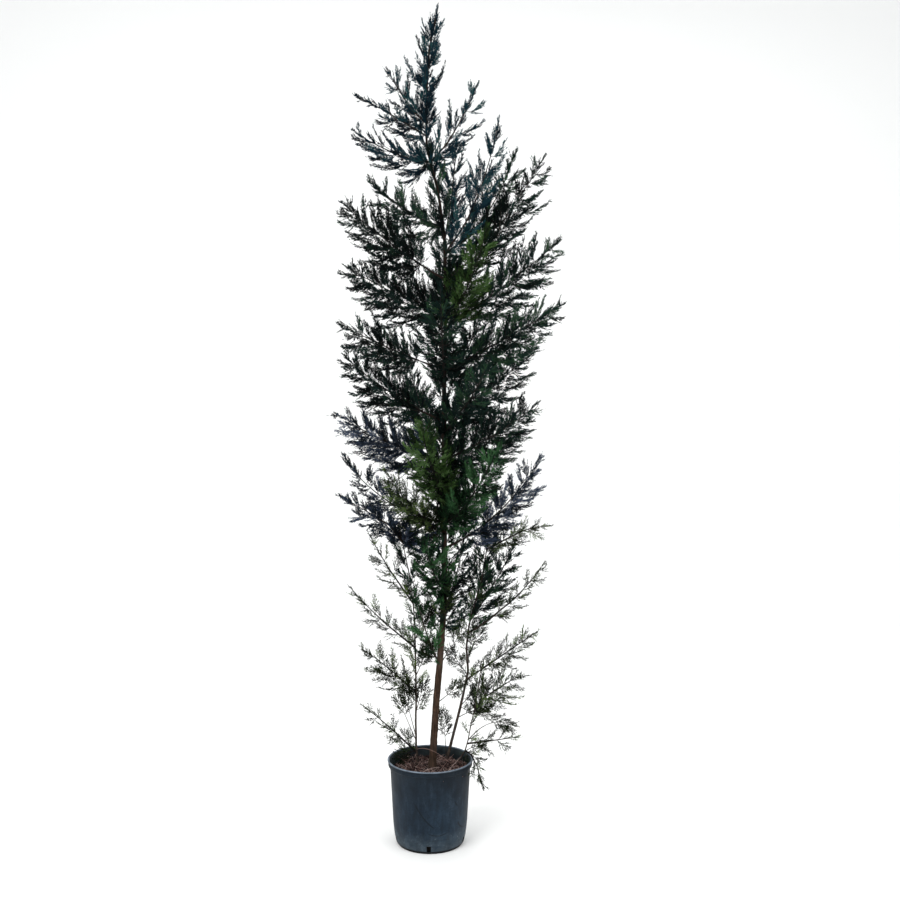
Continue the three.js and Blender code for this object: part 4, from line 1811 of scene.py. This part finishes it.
@dataclass
class Litter:
    """Bark chips, brown shed twigs and dry straws on the compost.

    Each pair is the least and the most of a size in millimetres: half a piece's length, its width or
    radius, and its height over the compost.
    """

    ball: RootBall
    chips: int = 420
    straws: int = 1500
    sprays: int = 110
    seed: int = 11
    chip_half: tuple[float, float] = (2.0, 7.0)
    chip_width: tuple[float, float] = (0.9, 2.6)
    chip_height: tuple[float, float] = (0.5, 3.5)
    straw_half: tuple[float, float] = (3.0, 16.0)
    straw_radius: tuple[float, float] = (0.3, 0.65)
    straw_height: tuple[float, float] = (0.5, 7.0)
    spray_half: tuple[float, float] = (8.0, 20.0)
    spray_height: tuple[float, float] = (2.0, 7.0)
    spray_rise: tuple[float, float] = (0.0, 3.0)
    from_wall: float = 6 * MM
    chip_tints: tuple[str, ...] = ("4f3c37", "2a1f20", "15100f", "6e5750", "322322")
    straw_tints: tuple[str, ...] = ("7d645d", "3c2b29", "a8938c", "1b1314", "5a433e")
    leaning: tuple[tuple[tuple[float, float, float], ...], ...] = (
        ((-0.046, 0.024, 0.302), (0.004, -0.05, 0.342), (0.078, 0.008, 0.25)),
        ((0.029, -0.05, 0.245), (0.05, -0.01, 0.266), (0.08, 0.042, 0.279)),
        ((0.052, -0.06, 0.246), (0.076, -0.02, 0.262), (0.11, 0.03, 0.281)),
        ((-0.03, -0.06, 0.247), (-0.01, -0.05, 0.262), (0.03, -0.04, 0.262)),
        ((-0.07, 0.0, 0.246), (-0.085, 0.02, 0.268), (-0.112, 0.03, 0.274)),
        ((0.02, 0.03, 0.246), (0.05, 0.0, 0.285), (0.1, -0.02, 0.272)),
    )
    spray: Branching = Branching(
        spacing=2.6 * MM, length=9 * MM, angle=0.6, roll=0.3, forward=0.3, root_share=1.0, tip_share=0.5,
        stations=2,
    )

    def scattered(self, count: int, rng: np.random.Generator) -> np.ndarray:
        """Points on the compost's top, even over its area.

        Args:
            count: How many.
            rng: The random numbers.

        Returns:
            The points.
        """
        radius = (self.ball.radius - self.from_wall) * np.sqrt(rng.uniform(0.0, 1.0, count))
        turn = rng.uniform(0.0, 2 * math.pi, count)
        x, y = radius * np.cos(turn), radius * np.sin(turn)
        return np.stack([x, y, self.ball.level(x, y)], axis=1)

    def chip_surface(self) -> Surface:
        """Flat four-sided chips: squat tubes of three stations, closed at both ends.

        Returns:
            The surface.
        """
        rng = np.random.default_rng(self.seed)
        centre = self.scattered(self.chips, rng) + UP * rng.uniform(*self.chip_height, (self.chips, 1)) * MM
        way = unit(rng.normal(0.0, 1.0, (self.chips, 3)) * np.array([1.0, 1.0, 0.35]))
        half = rng.uniform(*self.chip_half, (self.chips, 1)) * MM
        path = np.stack([centre - way * half, centre, centre + way * half], axis=1)
        width = rng.uniform(*self.chip_width, (self.chips, 1, 1)) * MM
        section = np.array([1.0, 0.35, 1.0, 0.35])[None, None]
        radii = width * section * np.array([0.75, 1.0, 0.7])[None, :, None]
        normal = unit(np.cross(way, UP) + rng.normal(0.0, 0.35, way.shape))
        return tubes(path, radii, normal, 4, rng.integers(0, len(self.chip_tints), self.chips))

    def straw_surface(self) -> Surface:
        """Thin bent straws lying about.

        Returns:
            The surface.
        """
        rng = np.random.default_rng(self.seed + 1)
        centre = self.scattered(self.straws, rng)
        centre = centre + UP * rng.uniform(*self.straw_height, (self.straws, 1)) * MM
        way = unit(rng.normal(0.0, 1.0, (self.straws, 3)) * np.array([1.0, 1.0, 0.5]))
        half = rng.uniform(*self.straw_half, (self.straws, 1)) * MM
        sag = np.cross(way, rng.normal(0.0, 1.0, way.shape)) * half * 0.25
        path = np.stack([centre - way * half, centre + sag, centre + way * half], axis=1)
        radii = np.repeat(rng.uniform(*self.straw_radius, (self.straws, 1)) * MM, 3, axis=1)
        tint = rng.integers(0, len(self.straw_tints), self.straws)
        return tubes(path, radii, np.cross(way, UP) + 1e-4, 3, tint)

    def leaning_surface(self) -> Surface:
        """Longer dry twigs that lean on the stems and the wall.

        Each is bent through its three points as (1 - s)^2 * a + 2 * s * (1 - s) * b + s^2 * c for s from
        0 to 1.

        Returns:
            The surface.
        """
        a, b, c = (np.array(points)[:, None] for points in zip(*self.leaning))
        s = np.linspace(0.0, 1.0, 12)[None, :, None]
        path = (1 - s) ** 2 * a + 2 * s * (1 - s) * b + s**2 * c
        radii = np.broadcast_to(np.linspace(1.0, 0.5, 12) * MM, path.shape[:2])
        sideways = np.tile([[0.0, 1.0, 0.3]], (len(path), 1))
        every_other = np.arange(len(path)) % len(self.straw_tints) // 2 * 2
        return tubes(path, radii, sideways, 5, every_other)

    def spray_surface(self) -> Surface:
        """Fallen brown sprays: short shoots that lie flat, with blades to both sides.

        Returns:
            The surface.
        """
        rng = np.random.default_rng(self.seed + 2)
        centre = self.scattered(self.sprays, rng)
        centre = centre + UP * rng.uniform(*self.spray_height, (self.sprays, 1)) * MM
        way = unit(rng.normal(0.0, 1.0, (self.sprays, 3)) * np.array([1.0, 1.0, 0.3]))
        half = way * rng.uniform(*self.spray_half, (self.sprays, 1)) * MM
        lift = UP * rng.uniform(*self.spray_rise, (self.sprays, 1)) * MM
        path = np.stack([centre - half, centre + lift, centre + half], axis=1)
        plane = unit(UP + rng.normal(0.0, 0.3, way.shape))
        shoots = Shoots(path, plane, rng.integers(0, len(self.straw_tints), self.sprays))
        return Surface.joined([blades(self.spray.children(shoots, rng), 0.28), spindles(shoots, 0.6 * MM)])


# ---- The studio ---------------------------------------------------------------------------------------


@dataclass(frozen=True)
class Lamp:
    """A square soft light: its name, where it stands, its side in metres and its power in watts."""

    name: str
    place: tuple[float, float, float]
    size: float
    power: float


@dataclass
class Studio:
    """A plain pale floor that sweeps up behind, soft lights and the camera.

    The floor runs level from its front edge to back, and reaches as far to each side and up as it does
    forwards. Bend is the radius of its curve.
    """

    eye: tuple[float, float, float] = (0.067, -3.3, 1.384)
    pitch: float = 0.0191
    focal_share: float = 982.4 / 900.0
    sensor: float = 36.0
    lamps: tuple[Lamp, ...] = (
        Lamp("key", (-2.6, -3.2, 3.8), 3.0, 150.0),
        Lamp("fill", (3.2, -2.6, 2.4), 3.0, 70.0),
        Lamp("top", (0.2, 0.6, 5.2), 3.5, 90.0),
    )
    lit_place: tuple[float, float, float] = (0.05, 0.0, 1.4)
    room_light: tuple[float, float, float, float] = (0.95, 0.97, 1.0, 1.0)
    room_strength: float = 0.75
    floor_reach: float = 9.0
    floor_back: float = 3.0
    bend: float = 1.2

    def build(self) -> None:
        """Adds the floor, the lights, the world and the camera."""
        self.floor()
        for lamp in self.lamps:
            self.light(lamp)
        world = bpy.data.worlds.new("pale_room")
        world.use_nodes = True
        world.node_tree.nodes["Background"].inputs["Color"].default_value = self.room_light
        world.node_tree.nodes["Background"].inputs["Strength"].default_value = self.room_strength
        bpy.context.scene.world = world
        bpy.context.scene.view_settings.view_transform = "Standard"
        self.camera()

    def floor(self) -> None:
        """A sheet that runs level under the pot and curves up by a quarter circle into a wall."""
        turn = np.linspace(0.0, 0.5 * math.pi, 16)
        y = self.floor_back + self.bend * np.sin(turn)
        y = np.concatenate([[-self.floor_reach], y, [self.floor_back + self.bend]])
        z = np.concatenate([[0.0], self.bend - self.bend * np.cos(turn), [self.floor_reach]])
        x = np.array([-self.floor_reach, self.floor_reach])
        points = np.stack(np.broadcast_arrays(x[None], y[:, None], z[:, None]), axis=-1)
        faces = grid_faces(len(y), 2, False)
        surface = Surface(points.reshape(-1, 3), [faces], [np.zeros(len(faces), int)])
        sheet = bpy.data.objects.new("floor", surface.mesh("floor", True))
        bpy.context.scene.collection.objects.link(sheet)
        sheet.data.materials.append(PlainTint("pale_paper", "f8f8f6", 0.9, 0.2).material())

    def light(self, lamp: Lamp) -> None:
        """Adds a lamp that faces the middle of the tree.

        Args:
            lamp: The lamp.
        """
        data = bpy.data.lights.new(lamp.name, "AREA")
        data.size = lamp.size
        data.energy = lamp.power
        light = bpy.data.objects.new(lamp.name, data)
        light.location = lamp.place
        facing = Vector(self.lit_place) - Vector(lamp.place)
        light.rotation_euler = facing.to_track_quat("-Z", "Y").to_euler()
        bpy.context.scene.collection.objects.link(light)

    def camera(self) -> None:
        """The camera, level with the tree's middle and tipped slightly down."""
        data = bpy.data.cameras.new("camera")
        data.sensor_width = self.sensor
        data.lens = self.sensor * self.focal_share
        camera = bpy.data.objects.new("camera", data)
        camera.location = self.eye
        camera.rotation_euler = (0.5 * math.pi - self.pitch, 0.0, 0.0)
        bpy.context.scene.collection.objects.link(camera)
        bpy.context.scene.camera = camera


# ---- The whole ----------------------------------------------------------------------------------------


def nodes_by_slot() -> dict[str, list[str]]:
    """The frame's nodes under each material slot of the record.

    Returns:
        The nodes' names by slot.
    """
    found: dict[str, list[str]] = {}
    for part in frame["record"]["subparts"]:
        found.setdefault(part["material_slot"], []).append(part["node"])
    return found


def add_limbs(nodes: list[str]) -> dict[str, np.ndarray]:
    """Adds the barked trunk, stems and boughs.

    Args:
        nodes: The frame's limbs.

    Returns:
        Each limb's centreline.
    """
    bark = BarkFinish().material()
    stem_bark = BarkFinish(
        "stem_bark", cleft="171210", strip="332b26", ridge="564b44", weathered="655c56", old_to=0.5,
        young_from=0.95,
    ).material()
    axes = {}
    for number, node in enumerate(nodes):
        make, finish = Limb.stem, stem_bark
        if node == "trunk":
            make, finish = Limb.trunk, bark
        elif node.startswith("bough_"):
            make = Limb.bough
        limb = make(node, number)
        axes[node] = limb.axis
        add_piece(f"barked_{node}", limb.skin(), [finish], stands_for=(node,))
    return axes


def add_pot() -> None:
    """Adds the pot, the compost in it and the litter on top."""
    pot = Pot()
    plastic = [PotFinish().material(), PotFinish().lining()]
    add_piece("pot_shell", pot.surface(), plastic, stands_for=("pot",))
    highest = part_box("root_ball")[1]
    ball = RootBall(top=float(highest.z), radius=float(highest.x))
    # The second finish is near-black painted shade for the compost's side and bottom.
    earth = [CompostFinish().material(), PlainTint("buried_compost", "0b0908", 0.95, 0.05).material()]
    add_piece("compost", ball.surface(pot.wall_radius), earth, stands_for=("root_ball",))
    litter = Litter(ball)
    chips = palette("chip", litter.chip_tints, roughness=0.9, specular=0.15)
    straws = palette("straw", litter.straw_tints, roughness=0.8, specular=0.2)
    add_piece("bark_chips", litter.chip_surface(), chips, smooth=False)
    add_piece("straws", litter.straw_surface(), straws, smooth=False)
    add_piece("leaning_twigs", litter.leaning_surface(), straws)
    add_piece("fallen_sprays", litter.spray_surface(), straws, smooth=False)


def add_crown(slots: dict[str, list[str]], axes: dict[str, np.ndarray]) -> None:
    """Adds the foliage of every kind.

    Args:
        slots: The frame's nodes by slot.
        axes: The limbs' centrelines.
    """
    by_slot = [kind for kind in Kind if not kind.value.masses]
    kinds = {node: kind for kind in by_slot for node in slots.get(kind.value.slot, [])}
    kinds |= {node: kind for kind in Kind for node in kind.value.masses}
    plumes = [Plume(node, kind, axes, seed) for seed, (node, kind) in enumerate(kinds.items())]
    crown = Crown(plumes, Undergrowth(axes))
    wood = palette("twig_bark", crown.wood_tints, roughness=0.85, specular=0.2)
    for kind in Kind:
        crown.grow(kind, wood)


def main() -> None:
    """Builds the tree, its pot and the studio."""
    logging.basicConfig(level=logging.INFO, format="%(message)s")
    slots = nodes_by_slot()
    axes = add_limbs(slots["bark"])
    add_pot()
    add_crown(slots, axes)
    Studio().build()


if __name__ == "__main__":
    main()
